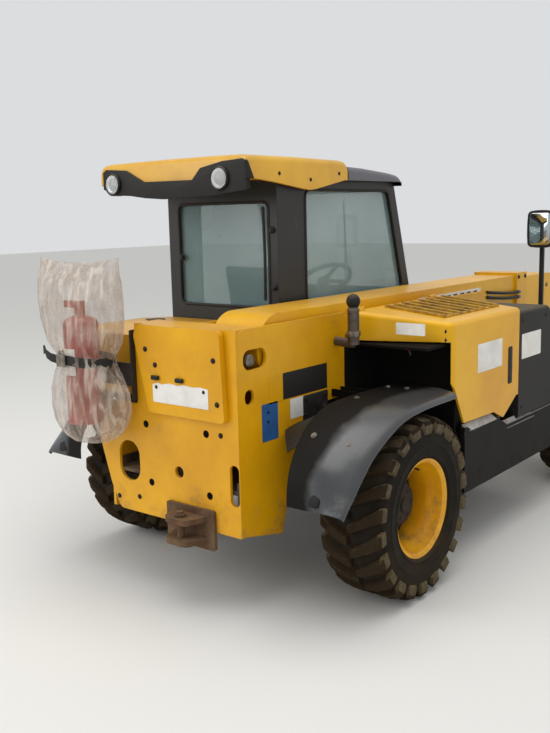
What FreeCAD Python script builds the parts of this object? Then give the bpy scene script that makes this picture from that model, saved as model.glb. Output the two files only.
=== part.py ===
import FreeCAD, Part
import math
import os
import Sketcher
from FreeCAD import Placement, Rotation, Vector

# Compact telehandler with a cab on the left, a telescopic boom beside it and the
# engine under a hood on the right.
# Millimetres. X points forward, Y to the left, Z up. The origin is on the ground,
# in the middle of the machine's length, fork tips included, and on its centre line.

SIZES = [
    # name, value, what it is
    # Wheels and axles
    ("rear_axle_x", -1767, "rear axle from the middle of the length"),
    ("wheelbase", 2300, "rear axle to front axle"),
    ("wheel_y", 767.5, "middle of a tyre from the centre line"),
    ("tyre_radius", 415, "tips of the lugs, and so the axles' height"),
    ("tyre_width", 305, "over the sidewalls"),
    ("tread_width", 250, "flat part of the tread"),
    ("lug_height", 26, "depth of the tread"),
    ("lug_length", 40, "lug along the tread"),
    ("lug_lean", 55, "shift of a lug's outer end along the tread"),
    ("lug_count", 18, "lugs in each of the two rows"),
    ("sidewall_radius", 300, "radius at the widest place"),
    ("rim_radius", 222, "edge of the rim's flange"),
    ("bead_radius", 206, "outside of the rim's barrel, where the tyre sits"),
    ("rim_wall", 9, "plate of the rim"),
    ("rim_width", 262, "over the flanges"),
    ("flange_wall", 12, "flange of the rim, along the axle"),
    ("disc_wall", 14, "wheel disc"),
    ("disc_inset", 50, "disc's outer face inboard of the tyre's middle"),
    ("hub_radius", 112, "planet hub that comes through the disc"),
    ("hub_length", 95, "hub outboard of the disc"),
    ("kingpin_y", 600, "steering axis from the centre line"),
    ("kingpin_radius", 24, "pin between yoke and knuckle"),
    ("yoke_height", 95, "inside of a yoke arm from the axle's centre"),
    ("yoke_wall", 38, "yoke arm"),
    ("yoke_half", 46, "half width of a yoke arm"),
    ("knuckle_radius", 74, "knuckle round the kingpin"),
    ("beam_radius", 62, "axle tube"),
    ("diff_radius", 125, "differential housing"),
    ("diff_half", 120, "half length of the differential housing"),
    ("steer_arm", 165, "kingpin to tie rod, to the rear"),
    ("steer_arm_wall", 22, "steering arm plate"),
    ("steer_barrel_radius", 34, "steering cylinder"),
    ("steer_barrel_half", 210, "half length of the steering cylinder"),
    ("steer_rod_radius", 14, "rod of the steering cylinder"),
    ("tie_end_radius", 24, "eye of a tie rod or steering arm"),
    # Fits
    ("seat_gap", 0.3, "gap between pieces that seat on each other"),
    ("run_gap", 6, "least gap between moving pieces"),
    ("pin_gap", 0.4, "gap round a pin"),
    ("edge_round", 20, "small rounding of a plate's corners"),
    ("corner_round", 40, "rounding of a plate's corners"),
    ("wide_round", 100, "wide rounding of a plate's corners"),
    # Chassis
    ("rear_overhang", 650, "rear axle to the rear face"),
    ("front_overhang", 290, "front axle to the chassis' front face"),
    ("plate_y", 400, "outer face of the rear body's side walls"),
    ("plate_wall", 15, "chassis plates"),
    ("belly_z", 335, "underside of the chassis"),
    ("rail_top", 600, "top of the chassis plates"),
    ("arch_z", 500, "underside of the chassis over an axle"),
    ("arch_half", 330, "half length of the arch over an axle"),
    # Rear body
    ("body_top", 1250, "top of the rear body"),
    ("body_left", 200, "left edge of the upper rear body"),
    ("body_low_left", 470, "left edge of the lower rear plate"),
    ("body_shoulder_z", 880, "top of the wide lower part"),
    ("cover_depth", 150, "rear cover, front to back"),
    ("body_wall", 15, "plate of the rear body"),
    ("side_wall_front", 134, "side wall's front edge, ahead of the rear axle"),
    ("side_wall_low", 850, "side wall's lower edge over the wheel"),
    ("wall_drop", 55, "side walls' lowest corner below the rear plate"),
    ("arch_foot_z", 451, "side walls' corner behind the wheel"),
    ("arch_neck", 206, "side wall's upright edge behind the rear axle"),
    ("arch_neck_z", 702, "foot of the side wall's upright edge"),
    ("low_plate_z", 675, "where the lower rear plate is full width"),
    ("left_wall_step", 60, "left wall's steps from deck and shoulder"),
    ("tower_front", 320, "foot of the pivot plate, ahead of the pivot"),
    ("port_y", 275, "middle of the left port"),
    ("port_low", 510, "lower end of the left port"),
    ("port_high", 700, "upper end of the left port"),
    ("eye_y", -45, "middle hole of the rear plate"),
    ("eye_z", 600, "middle hole of the rear plate"),
    ("eye_hole", 26, "radius of the middle hole"),
    ("slot_outer", -396, "outer edge of the right slot"),
    ("slot_inner", -345, "inner edge of the right slot"),
    ("slot_low", 500, "lower end of the right slot"),
    ("slot_high", 680, "upper end of the right slot"),
    ("oval_back", 608, "upper opening in the side wall, behind the axle"),
    ("oval_front", 458, "its front end"),
    ("oval_low", 1076, "its lower edge"),
    ("oval_high", 1161, "its upper edge"),
    ("peep_back", 603, "lower opening in the side wall, behind the axle"),
    ("peep_front", 545, "its front end"),
    ("peep_low", 930, "its lower edge"),
    ("peep_high", 993, "its upper edge"),
    ("tower_y", -70, "left face of the boom's inner pivot plate"),
    ("panel_thick", 30, "raised panel on the rear face"),
    ("panel_left", 180, "left edge of the raised panel"),
    ("panel_right", -350, "right edge of the raised panel"),
    ("panel_low", 860, "lower edge of the raised panel"),
    ("panel_taper", 80, "slanted corners of the raised panel"),
    ("port_radius", 68, "round end of the rear ports"),
    # Boom
    ("boom_y", -235, "middle of the boom"),
    ("pivot_x", -330, "boom pivot from the rear axle"),
    ("pivot_z", 1140, "boom pivot above the ground"),
    ("pivot_radius", 35, "boom pivot pin"),
    ("boom_width", 270, "outer boom"),
    ("boom_height", 300, "outer boom"),
    ("boom_wall", 9, "plate of both boom sections"),
    ("boom_front", 2290, "outer boom's front edge from the rear axle"),
    ("collar_length", 150, "reinforced front end of the outer boom"),
    ("collar_wall", 16, "plate that the front end adds"),
    ("pad_gap", 10, "space between the sections, filled by wear pads"),
    ("pad_length", 120, "wear pad"),
    ("inner_back", 0, "inner boom's rear edge from the rear axle"),
    ("nose_x", 3000, "nose's front face from the rear axle"),
    ("nose_depth", 165, "nose, front to back"),
    ("nose_start", 2500, "where the nose begins"),
    ("nose_lap", 100, "inner boom's tube inside the nose"),
    ("nose_throat", 60, "bend at the nose's throat"),
    ("nose_drop", 130, "fall of the nose's throat"),
    ("nose_neck", 250, "straight back of the nose above the carriage pivot"),
    ("nose_guard", 300, "front plate of the nose"),
    ("head_x", 2925, "carriage pivot from the rear axle"),
    ("head_z", 450, "carriage pivot above the ground"),
    ("head_radius", 75, "boss round the carriage pivot"),
    ("head_pin", 28, "carriage pivot pin"),
    # Carriage and forks
    ("carriage_half", 520, "half width of the carriage"),
    ("carriage_x", 3290, "carriage's front face from the rear axle"),
    ("carriage_wall", 20, "plates of the carriage"),
    ("carriage_top", 760, "top of the carriage's plates"),
    ("carriage_low", 130, "underside of the carriage's plates"),
    ("shaft_radius", 25, "fork shaft"),
    ("shaft_z", 700, "fork shaft above the ground"),
    ("fork_width", 100, "fork"),
    ("fork_thick", 40, "fork blade and shank"),
    ("fork_length", 1067, "blade, from the shank's front face"),
    ("fork_z", 60, "underside of the blades at rest"),
    ("fork_y", 330, "middle of a fork from the centre line"),
    # Boom cylinders
    ("lift_x", -30, "lift cylinder's lower pin from the rear axle"),
    ("lift_z", 615, "lift cylinder's lower pin above the ground"),
    ("lift_eye_x", 1050, "lift cylinder's upper pin from the rear axle"),
    ("lift_eye_z", 900, "lift cylinder's upper pin above the ground"),
    ("lift_radius", 48, "lift cylinder barrel"),
    ("lift_rod_radius", 28, "lift cylinder rod"),
    ("lift_barrel", 850, "lift barrel, from its pin to the gland"),
    ("tilt_x", 2560, "tilt cylinder's upper pin from the rear axle"),
    ("tilt_z", 1130, "tilt cylinder's upper pin above the ground"),
    ("tilt_eye_x", 3085, "tilt cylinder's lower pin from the rear axle"),
    ("tilt_eye_z", 720, "tilt cylinder's lower pin above the ground"),
    ("tilt_radius", 38, "tilt cylinder barrel"),
    ("tilt_rod_radius", 22, "tilt cylinder rod"),
    ("tilt_barrel", 530, "tilt barrel, from its pin to the gland"),
    ("eye_radius", 42, "eyes of both cylinders"),
    ("eye_pin", 18, "pins of both cylinders"),
    # Hood and the right side
    ("side_y", -860, "outer face of hood and skirt"),
    ("hood_inner_y", -405, "inner edge of the hood"),
    ("hood_back", 190, "hood's rear edge at its inner side, from the rear axle"),
    ("hood_back_outer", 345, "hood's rear edge at its outer side"),
    ("hood_front", 1090, "hood's front edge from the rear axle"),
    ("hood_top", 1250, "top of the hood at its inner edge"),
    ("hood_side_top", 1200, "top of the hood at its outer edge"),
    ("hood_low", 697, "hood's lower edge"),
    ("hood_point_z", 647, "lowest point of the hood's side"),
    ("hood_point", 906, "lowest point from the rear axle"),
    ("band_low", 1109, "underside of the hood's rear band"),
    ("cut_high", 277, "upper bend of the hood's cut-out from the rear axle"),
    ("cut_high_z", 1015, "its height"),
    ("cut_mid", 368, "middle bend of the cut-out"),
    ("cut_mid_z", 883, "its height"),
    ("cut_low", 464, "lower bend of the cut-out"),
    ("cut_low_z", 705, "its height"),
    ("hood_step", 796, "end of the hood's level lower edge"),
    ("hood_notch", 1064, "notch at the hood's lower front corner"),
    ("hood_notch_z", 739, "height of the notch"),
    ("hood_wall", 12, "moulded wall of the hood"),
    ("hood_round", 40, "rounded edges of the hood"),
    ("hood_pin_y", -402, "hood's hinge line"),
    ("hood_pin_z", 1256, "hood's hinge line above the ground"),
    ("hood_pin", 6, "knuckles of the hood's hinge"),
    ("grille_back", 430, "louvres' rear edge from the rear axle"),
    ("grille_front", 1030, "louvres' front edge"),
    ("grille_inner", -440, "louvres' inner edge"),
    ("grille_outer", -770, "louvres' outer edge"),
    ("slat_count", 8, "louvre slats"),
    ("slat_wall", 22, "slat, front to back"),
    ("engine_back", 470, "engine block's rear face from the rear axle"),
    ("engine_length", 560, "engine block"),
    ("engine_width", 340, "engine block"),
    ("engine_low", 640, "engine block's underside"),
    ("engine_top", 1060, "engine block's top"),
    ("liner_top", 1100, "top of the engine bay's liner"),
    ("liner_gap", 20, "liner to the engine block"),
    ("box_front", 1640, "intake box's front face from the rear axle"),
    ("box_top", 1180, "top of the intake box"),
    ("box_low", 600, "underside of the intake box"),
    ("box_slant", 130, "slanted top corner of the intake box, along it"),
    ("box_slant_z", 180, "slanted top corner, upright"),
    ("skirt_low", 350, "underside of the side skirt"),
    ("skirt_back", 475, "skirt's rear edge from the rear axle"),
    ("skirt_top", 575, "top of the skirt's tank"),
    ("skirt_slant", 60, "slanted rear end of the skirt"),
    ("skirt_gap", 20, "skirt's ends behind those of hood and box"),
    ("ledge_front", 958, "ledge: start of its level front"),
    ("ledge_dip", 907, "ledge: foot of its slope"),
    ("ledge_dip_z", 628, "its height"),
    ("ledge_rise", 833, "ledge: head of its slope"),
    ("ledge_rise_z", 653, "its height"),
    ("ledge_back", 561, "ledge: rear bend"),
    ("ledge_back_z", 646, "its height"),
    ("ledge_end", 500, "ledge: raised rear end"),
    ("ledge_end_z", 680, "its height"),
    ("exhaust_x", 60, "exhaust stub from the rear axle"),
    ("exhaust_y", -500, "exhaust stub"),
    ("exhaust_radius", 27, "exhaust stub"),
    ("exhaust_low", 1110, "underside of the exhaust stub"),
    ("exhaust_top", 1336, "top of the exhaust stub"),
    ("clamp_lift", 15, "clamp above the stub's lower end"),
    ("clamp_height", 25, "clamp of the stub"),
    # Fenders
    ("fender_y", 905, "outer edge of the fenders"),
    ("fender_wall", 9, "moulded wall of the fenders"),
    ("fender_top", 900, "top of the fenders"),
    ("fender_inner", 580, "inner edge of the fenders"),
    ("fender_back", 645, "fender's tail behind the axle"),
    ("fender_tail_z", 553, "lower end of a fender's tail"),
    ("fender_knee", 628, "inner edge: head of the upright tail behind the axle"),
    ("fender_knee_z", 670, "its height"),
    ("fender_bend", 480, "inner edge: first bend behind the axle"),
    ("fender_bend_z", 822, "its height"),
    ("fender_flat", 260, "inner edge: rear end of the flat top"),
    ("fender_foot", 585, "outer edge: head of the upright tail behind the axle"),
    ("fender_foot_z", 600, "its height"),
    ("fender_slope", 410, "outer edge: first bend behind the axle"),
    ("fender_slope_z", 765, "its height"),
    ("fender_crest", 130, "outer edge: rear end of the flat top"),
    ("fender_crest_z", 885, "height of the flat top's outer edge"),
    ("fender_ahead", 300, "fender ahead of the axle"),
    ("arm_back", 520, "rear arm of a rear fender behind the axle"),
    ("arm_front", 100, "front arm of the right rear fender ahead of the axle"),
    ("arm_width", 80, "arms of the rear fenders"),
    ("arm_z", 772, "rear arm's underside"),
    ("arm_wall", 34, "arms, upright"),
    ("fender_lip", 24, "rim turned down along the outer edge"),
    # Cab
    ("cab_right", -50, "right face of the cab"),
    ("cab_left", 860, "left face of the cab"),
    ("cab_back", 80, "rear face of the cab from the rear axle"),
    ("cab_front", 1500, "front face of the cab at the floor"),
    ("cab_front_belt", 1350, "front face of the cab at the belt"),
    ("cab_nose_z", 780, "where the cab's front starts to lean back"),
    ("cab_brow", 1160, "front face of the cab under the roof"),
    ("cab_corner", 180, "slanted rear left corner, along the cab"),
    ("cab_corner_y", 690, "where the rear face meets the slanted corner"),
    ("cab_belt", 1240, "lower edge of the windows"),
    ("cab_head", 1880, "top of the cab frame"),
    ("cab_wall", 42, "posts and walls of the cab"),
    ("cab_arch_top", 350, "rear axle to where the cab's underside turns down behind the door"),
    ("cab_arch_low", 470, "rear axle to the rear end of the cab's floor"),
    ("cab_arch_z", 640, "foot of the slanted wall over the wheel"),
    ("glass_wall", 6, "window glass"),
    ("post", 62, "face of a window post"),
    ("door_back", 420, "door's rear edge from the rear axle"),
    ("door_low", 650, "door's lower edge"),
    ("door_heel_x", 90, "slanted lower rear corner of the door, along the cab"),
    ("door_heel_z", 230, "slanted lower rear corner of the door, upright"),
    ("door_gap", 6, "gap round the door"),
    ("door_pin", 11, "hinge knuckles of the door"),
    ("door_handle", 18, "door handle, proud of the door"),
    ("roof_back", -200, "roof's rear edge from the rear axle"),
    ("roof_front", 1180, "roof's front edge"),
    ("roof_top", 1990, "top of the roof"),
    ("roof_fall", 40, "fall of the roof towards its front"),
    ("roof_tail", 8, "fall of the roof to its rear edge"),
    ("roof_crest", 350, "highest line ahead of the rear edge"),
    ("valance_low", 430, "lowest point of the side valances ahead of the rear edge"),
    ("valance_drop", 52, "side valances below the roof"),
    ("valance_front", 380, "valances' end behind the roof's front edge"),
    ("visor_lap", 6, "visor behind the roof's edge"),
    ("roof_left", 890, "left edge of the roof"),
    ("roof_right", -94, "right edge of the roof"),
    ("lamp_radius", 54, "roof lamp"),
    ("lamp_depth", 46, "roof lamp"),
    ("lamp_z", 1880, "middle of a roof lamp"),
    ("lamp_right", 63, "right roof lamp"),
    ("lamp_left", 791, "left roof lamp"),
    ("seat_x", 520, "back of the seat's base from the rear axle"),
    ("seat_y", 400, "middle of the seat and the steering wheel"),
    ("seat_width", 470, "seat cushions"),
    ("seat_length", 380, "seat's base"),
    ("seat_lift", 250, "height of the seat's base"),
    ("seat_depth", 440, "seat cushion"),
    ("cushion_wall", 110, "thickness of the cushions"),
    ("backrest", 560, "top of the backrest above the base"),
    ("backrest_lean", 60, "lean of the backrest"),
    ("dash_gap", 140, "steering wheel's middle to the console's foot"),
    ("dash_depth", 80, "console's foot, front to back"),
    ("dash_half", 200, "half width of the console"),
    ("dash_drop", 120, "console's top below the belt"),
    ("column_half", 25, "half width of the steering column"),
    ("wheel_x", 1085, "middle of the steering wheel from the rear axle"),
    ("wheel_z", 1290, "middle of the steering wheel above the ground"),
    ("wheel_ring", 170, "radius of the steering wheel's ring"),
    ("wheel_grip", 13, "half thickness of the ring"),
    ("wheel_tilt", 30, "lean of the steering wheel, in degrees"),
    ("mirror_width", 150, "mirror head"),
    ("mirror_stem", 22, "stem of a mirror"),
    ("mirror_top", 1700, "top of the mirrors"),
    ("mirror_head", 210, "height of a mirror head"),
    ("mirror_foot", 260, "foot of the right stem below the box's top"),
    ("mirror_reach", 110, "reach of the mirrors' arms"),
    ("mirror_drop", 130, "left arm below the mirrors' top"),
    # Rear end
    ("hitch_z", 372, "hitch pin block above the ground"),
    ("hitch_y", -115, "middle of the hitch"),
    ("hitch_width", 286, "hitch block"),
    ("hitch_jaw", 70, "opening between the hitch's jaws"),
    ("hitch_pin", 16, "hitch pin"),
    ("hitch_plate", 90, "half height of the hitch's back plate"),
    ("hitch_reach", 115, "hitch behind the rear face"),
    ("hitch_pin_x", 75, "hitch pin behind the rear face"),
    ("bottle_y", 430, "middle of the extinguisher"),
    ("bottle_radius", 80, "extinguisher bottle"),
    ("bottle_low", 790, "underside of the extinguisher"),
    ("bottle_top", 1270, "top of the extinguisher's bottle"),
    ("bracket_reach", 28, "rear face to the back of the extinguisher's cradle plate"),
    ("bag_wall", 5, "film of the bag and the air in its folds"),
    ("bag_low", 700, "lower end of the bag"),
    ("bag_swell", 820, "where the bag is full below its strap"),
    ("bag_waist", 1070, "strap round the bag"),
    ("bag_belly", 1210, "where the bag is full above its strap"),
    ("bag_neck", 1420, "where the bag starts to close"),
    ("bag_top", 1540, "top of the bag"),
    ("bag_half", 205, "half width of the bag round the extinguisher"),
    ("bag_depth", 100, "half depth of the bag"),
    ("tank_gap", 70, "rear face to the hydraulic tank"),
    ("tank_inset", 60, "tank's edges from the cab's side and belt"),
    ("step_back", 640, "step's rear end from the rear axle"),
    ("step_front", 1500, "step's front end"),
    ("step_lift", 20, "step's underside above the skirt's"),
    ("step_wall", 60, "step's upright outer edge"),
    ("step_depth", 70, "tread of the step"),
]

document = FreeCAD.newDocument("telehandler")
sheet = document.addObject("Spreadsheet::Sheet", "sizes")
for row, (name, value, note) in enumerate(SIZES, 1):
    sheet.set(f"A{row}", name)
    sheet.set(f"B{row}", str(value))
    sheet.set(f"C{row}", note)
    sheet.setAlias(f"B{row}", name)
document.recompute()


class Size:
    """A number that the sheet works out, kept as an expression."""

    def __init__(self, text):
        self.text = str(text)

    def __add__(self, other):
        return Size(f"({self.text} + {text_of(other)})")

    def __sub__(self, other):
        return Size(f"({self.text} - {text_of(other)})")

    def __mul__(self, other):
        return Size(f"({self.text} * {text_of(other)})")

    def __truediv__(self, other):
        return Size(f"({self.text} / {text_of(other)})")

    def __neg__(self):
        return Size(f"(-1 * {self.text})")

    def __float__(self):
        result = sheet.evalExpression(self.text)
        return float(getattr(result, "Value", result))

    def __rsub__(self, other):
        return Size(f"({other} - {self.text})")

    __radd__ = __add__
    __rmul__ = __mul__


def text_of(size):
    return size.text if isinstance(size, Size) else f"({size})"


class Named:
    """Gives each cell of the sheet by its name."""

    def __getattr__(self, name):
        return Size(f"sizes.{name}")


class Round:
    """A round loop of an outline."""

    def __init__(self, across, up, radius):
        self.across = across
        self.up = up
        self.radius = radius


def root(size):
    return Size(f"sqrt({text_of(size)})")


def distance(run, rise):
    return root(run * run + rise * rise)


def slope(run, rise):
    """Angle of a line above the horizontal, in degrees."""
    return Size(f"atan2({text_of(rise)}; {text_of(run)})")


s = Named()
rear_axle = s.rear_axle_x
front_axle = s.rear_axle_x + s.wheelbase


def bind(thing, path, size):
    thing.setExpression(path, text_of(size))


def new_body(label):
    body = document.addObject("PartDesign::Body", label)
    body.Label = label
    body.AllowCompound = True
    return body


def bind_point(sketch, geometry, position, across, up):
    """Ties a point of a sketch to its two distances from the sketch's origin."""
    for kind, size in (("DistanceX", across), ("DistanceY", up)):
        constraint = Sketcher.Constraint(kind, -1, 1, geometry, position, float(size))
        index = sketch.addConstraint(constraint)
        bind(sketch, f"Constraints[{index}]", size)


def draw_round(sketch, loop):
    middle = Vector(float(loop.across), float(loop.up), 0)
    edge = sketch.addGeometry(Part.Circle(middle, Vector(0, 0, 1), float(loop.radius)), False)
    bind_point(sketch, edge, 3, loop.across, loop.up)
    index = sketch.addConstraint(Sketcher.Constraint("Radius", edge, float(loop.radius)))
    bind(sketch, f"Constraints[{index}]", loop.radius)


def corner_arc(before, corner, after, radius):
    """Arc in a corner: its centre, angles, ends, and whether it turns to the left."""
    come = (corner - before).normalize()
    leave = (after - corner).normalize()
    turn = math.acos(max(-1.0, min(1.0, come.dot(leave))))
    cut = radius * math.tan(turn / 2)
    start = corner - come * cut
    end = corner + leave * cut
    left = come.cross(leave).z > 0
    side = Vector(-come.y, come.x, 0) * (radius if left else -radius)
    centre = start + side
    first, last = (start, end) if left else (end, start)
    first_angle = math.atan2(first.y - centre.y, first.x - centre.x)
    last_angle = math.atan2(last.y - centre.y, last.x - centre.x)
    if last_angle < first_angle:
        last_angle += 2 * math.pi
    return centre, first_angle, last_angle, start, end, left


def draw_corners(sketch, corners):
    """Closed loop of straight runs. A corner is (across, up) or (across, up, radius)."""
    count = len(corners)
    points = [Vector(float(corner[0]), float(corner[1]), 0) for corner in corners]
    arcs = {}
    for index, corner in enumerate(corners):
        if len(corner) == 3:
            before = points[index - 1]
            after = points[(index + 1) % count]
            arcs[index] = corner_arc(before, points[index], after, float(corner[2]))
    lines = []
    for index in range(count):
        following = (index + 1) % count
        start = arcs[index][4] if index in arcs else points[index]
        end = arcs[following][3] if following in arcs else points[following]
        lines.append(sketch.addGeometry(Part.LineSegment(start, end), False))
    for index, corner in enumerate(corners):
        line_in = lines[index - 1]
        line_out = lines[index]
        if index not in arcs:
            sketch.addConstraint(Sketcher.Constraint("Coincident", line_in, 2, line_out, 1))
            bind_point(sketch, line_out, 1, corner[0], corner[1])
            continue
        centre, first_angle, last_angle, _, _, left = arcs[index]
        circle = Part.Circle(centre, Vector(0, 0, 1), float(corner[2]))
        arc = sketch.addGeometry(Part.ArcOfCircle(circle, first_angle, last_angle), False)
        near, far = (1, 2) if left else (2, 1)
        sketch.addConstraint(Sketcher.Constraint("Tangent", line_in, 2, arc, near))
        sketch.addConstraint(Sketcher.Constraint("Tangent", arc, far, line_out, 1))
        index_radius = sketch.addConstraint(Sketcher.Constraint("Radius", arc, float(corner[2])))
        bind(sketch, f"Constraints[{index_radius}]", corner[2])
        sharp = sketch.addGeometry(Part.Point(points[index]), True)
        bind_point(sketch, sharp, 1, corner[0], corner[1])
        sketch.addConstraint(Sketcher.Constraint("PointOnObject", sharp, 1, line_in))
        sketch.addConstraint(Sketcher.Constraint("PointOnObject", sharp, 1, line_out))


def outline(body, plane, loops, level):
    """Sketch on one of the body's own planes, moved along the plane's axis to a level.

    XY is drawn with X across and Y up, XZ with X across and Z up, and YZ with
    Y across and Z up. The XZ plane faces backwards along Y.
    """
    sketch = body.newObject("Sketcher::SketchObject", f"{plane}_outline")
    planes = {feature.Role: feature for feature in body.Origin.OriginFeatures}
    sketch.AttachmentSupport = (planes[f"{plane}_Plane"], "")
    sketch.MapMode = "FlatFace"
    bind(sketch, ".AttachmentOffset.Base.z", -level if plane == "XZ" else level)
    for loop in loops:
        if isinstance(loop, Round):
            draw_round(sketch, loop)
        else:
            draw_corners(sketch, loop)
    return sketch


def as_size(value):
    return value if isinstance(value, Size) else Size(value)


def pad(body, plane, loops, low, high):
    """Adds the outline's loops between two levels along the plane's axis."""
    low, high = as_size(low), as_size(high)
    feature = body.newObject("PartDesign::Pad", "pad")
    feature.Profile = outline(body, plane, loops, high if plane == "XZ" else low)
    bind(feature, "Length", high - low)
    return feature


def pocket(body, plane, loops, low, high):
    """Cuts the outline's loops away between two levels along the plane's axis."""
    low, high = as_size(low), as_size(high)
    document.recompute()
    before = body.Shape.Volume
    feature = body.newObject("PartDesign::Pocket", "pocket")
    feature.Profile = outline(body, plane, loops, low if plane == "XZ" else high)
    bind(feature, "Length", high - low)
    document.recompute()
    if body.Shape.Volume > before - 1:
        raise ValueError(f"a pocket of {body.Label} cuts nothing")
    return feature


def turned(body, plane, corners, axis):
    """Revolves one loop about the sketch's own axis, H_Axis across or V_Axis up."""
    feature = body.newObject("PartDesign::Revolution", "turned")
    sketch = outline(body, plane, [corners], as_size(0))
    feature.Profile = sketch
    feature.ReferenceAxis = (sketch, [axis])
    feature.Angle = 360
    return feature


def box(low_across, high_across, low_up, high_up, radius=None):
    """Corners of a rectangle, rounded if a radius is given."""
    corners = [
        (low_across, low_up), (high_across, low_up), (high_across, high_up), (low_across, high_up)]
    return [corner if radius is None else corner + (radius,) for corner in corners]


def round_edges(body, radius, wanted):
    """Fillets the edges of the body whose ends satisfy a test."""
    document.recompute()
    tip = body.Tip
    names = []
    for index, edge in enumerate(tip.Shape.Edges, 1):
        ends = [vertex.Point for vertex in edge.Vertexes]
        if len(ends) == 2 and wanted(ends[0], ends[1]):
            names.append(f"Edge{index}")
    if not names:
        raise ValueError(f"no edge to round on {body.Label}")
    feature = body.newObject("PartDesign::Fillet", "rounded")
    feature.Base = (tip, names)
    bind(feature, "Radius", radius)
    return feature


def near(value, size, slack=0.5):
    return abs(value - float(size)) < slack


def placed_copy(label, source, along):
    """The same piece again, further forward."""
    copy = document.addObject("Part::Compound", label)
    copy.Label = label
    copy.Links = [source]
    bind(copy, ".Placement.Base.x", along)
    return copy


def mirrored(label, source):
    """The same piece on the other side of the machine."""
    copy = document.addObject("Part::Mirroring", label)
    copy.Label = label
    copy.Source = source
    copy.Base = Vector(0, 0, 0)
    copy.Normal = Vector(0, 1, 0)
    return copy


def joined(label, pieces):
    """Pieces that share a node and don't touch."""
    group = document.addObject("Part::Compound", label)
    group.Label = label
    group.Links = pieces
    return group


def box_pad(body, low_x, high_x, low_y, high_y, low_z, high_z):
    return pad(body, "XY", [box(low_x, high_x, low_y, high_y)], low_z, high_z)


# Wheels. Each is drawn at the right rear and its copies go to the other corners.
axle_z = s.tyre_radius
wheel_mid = -s.wheel_y


def faceted(faces):
    """Solid bounded by flat faces, each a list of its corners."""
    walls = [Part.Face(Part.makePolygon(corners + corners[:1])) for corners in faces]
    return Part.Solid(Part.makeShell(walls))


def tyre():
    """Carcass of flats, two to a lug, with two staggered rows of slanted lugs."""
    carcass = float(s.tyre_radius - s.lug_height)
    lug_height = float(s.lug_height)
    half = float(s.tyre_width / 2)
    tread = float(s.tread_width / 2)
    bead = float(s.rim_width / 2 - s.flange_wall - s.seat_gap)
    lug_count = int(float(s.lug_count))
    flats = 2 * lug_count
    bulge = 1 / math.cos(math.pi / flats)
    inside = float(s.bead_radius + s.seat_gap) * bulge
    over_rim = float(s.rim_radius + s.seat_gap) * bulge
    sidewall = float(s.sidewall_radius)
    section = [
        (inside, -bead), (over_rim, -bead), (sidewall, -half), (carcass, -tread),
        (carcass, tread), (sidewall, half), (over_rim, bead), (inside, bead)]

    def spot(radius, across, step):
        angle = 2 * math.pi * step / flats
        return Vector(radius * math.sin(angle), across, radius * math.cos(angle))

    faces = []
    for step in range(flats):
        for (radius, across), (next_radius, next_across) in zip(section, section[1:] + section[:1]):
            faces.append([
                spot(radius, across, step), spot(next_radius, next_across, step),
                spot(next_radius, next_across, step + 1), spot(radius, across, step + 1)])
    body = faceted(faces)
    along = float(s.lug_length / 2)
    lean = float(s.lug_lean)
    top = math.sqrt(float(s.tyre_radius) ** 2 - along ** 2)
    outer_end = (half + tread) / 2
    root_radius = (carcass + sidewall) / 2 - lug_height / 4
    shoulder = carcass - lug_height / 2
    lugs = []
    for side in (-1, 1):
        inner, outer = side * lug_height / 4, side * outer_end
        base = [
            Vector(-along, inner, root_radius), Vector(along, inner, root_radius),
            Vector(along - lean, outer, root_radius), Vector(-along - lean, outer, root_radius)]
        cap = [
            Vector(-along, inner, top), Vector(along, inner, top),
            Vector(along - lean, outer, shoulder), Vector(-along - lean, outer, shoulder)]
        sides = [
            [base[corner], base[(corner + 1) % 4], cap[(corner + 1) % 4], cap[corner]]
            for corner in range(4)]
        lug = faceted([base, cap] + sides)
        if lug.Volume < 0:
            lug.reverse()
        for step in range(lug_count):
            turned_lug = lug.copy()
            angle = 360 * (step + (0.25 if side < 0 else 0.75)) / lug_count
            turned_lug.rotate(Vector(0, 0, 0), Vector(0, 1, 0), angle)
            lugs.append(turned_lug)
    feature = document.addObject("Part::Feature", "tyre_rear_right")
    feature.Label = "tyre_rear_right"
    feature.Shape = body.fuse(lugs).removeSplitter()
    place_wheel(feature)
    return feature


def place_wheel(thing):
    bind(thing, ".Placement.Base.x", rear_axle)
    bind(thing, ".Placement.Base.y", wheel_mid)
    bind(thing, ".Placement.Base.z", axle_z)


def rim():
    """Rim, its disc and the planet hub that comes through the disc, in one turning."""
    body = new_body("rim_rear_right")
    half = s.rim_width / 2
    seat = half - s.flange_wall
    barrel = s.bead_radius - s.rim_wall
    disc_in = s.disc_inset + s.disc_wall
    hub_end = s.disc_inset - s.hub_length
    turned(body, "XY", [
        (Size(0), hub_end), (s.hub_radius * 0.7, hub_end), (s.hub_radius, hub_end + s.hub_radius * 0.2),
        (s.hub_radius, s.disc_inset), (barrel, s.disc_inset), (barrel, -half),
        (s.rim_radius, -half), (s.rim_radius, -seat), (s.bead_radius, -seat),
        (s.bead_radius, seat), (s.rim_radius, seat), (s.rim_radius, half),
        (barrel, half), (barrel, disc_in), (Size(0), disc_in)], "V_Axis")
    place_wheel(body)
    return body


disc_inner_y = wheel_mid + s.disc_inset + s.disc_wall
arm_low = axle_z + s.tie_end_radius * 0.4
tie_end_half = s.steer_rod_radius * 1.3
eye_y = s.kingpin_y - s.tie_end_radius * 1.5


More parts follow.
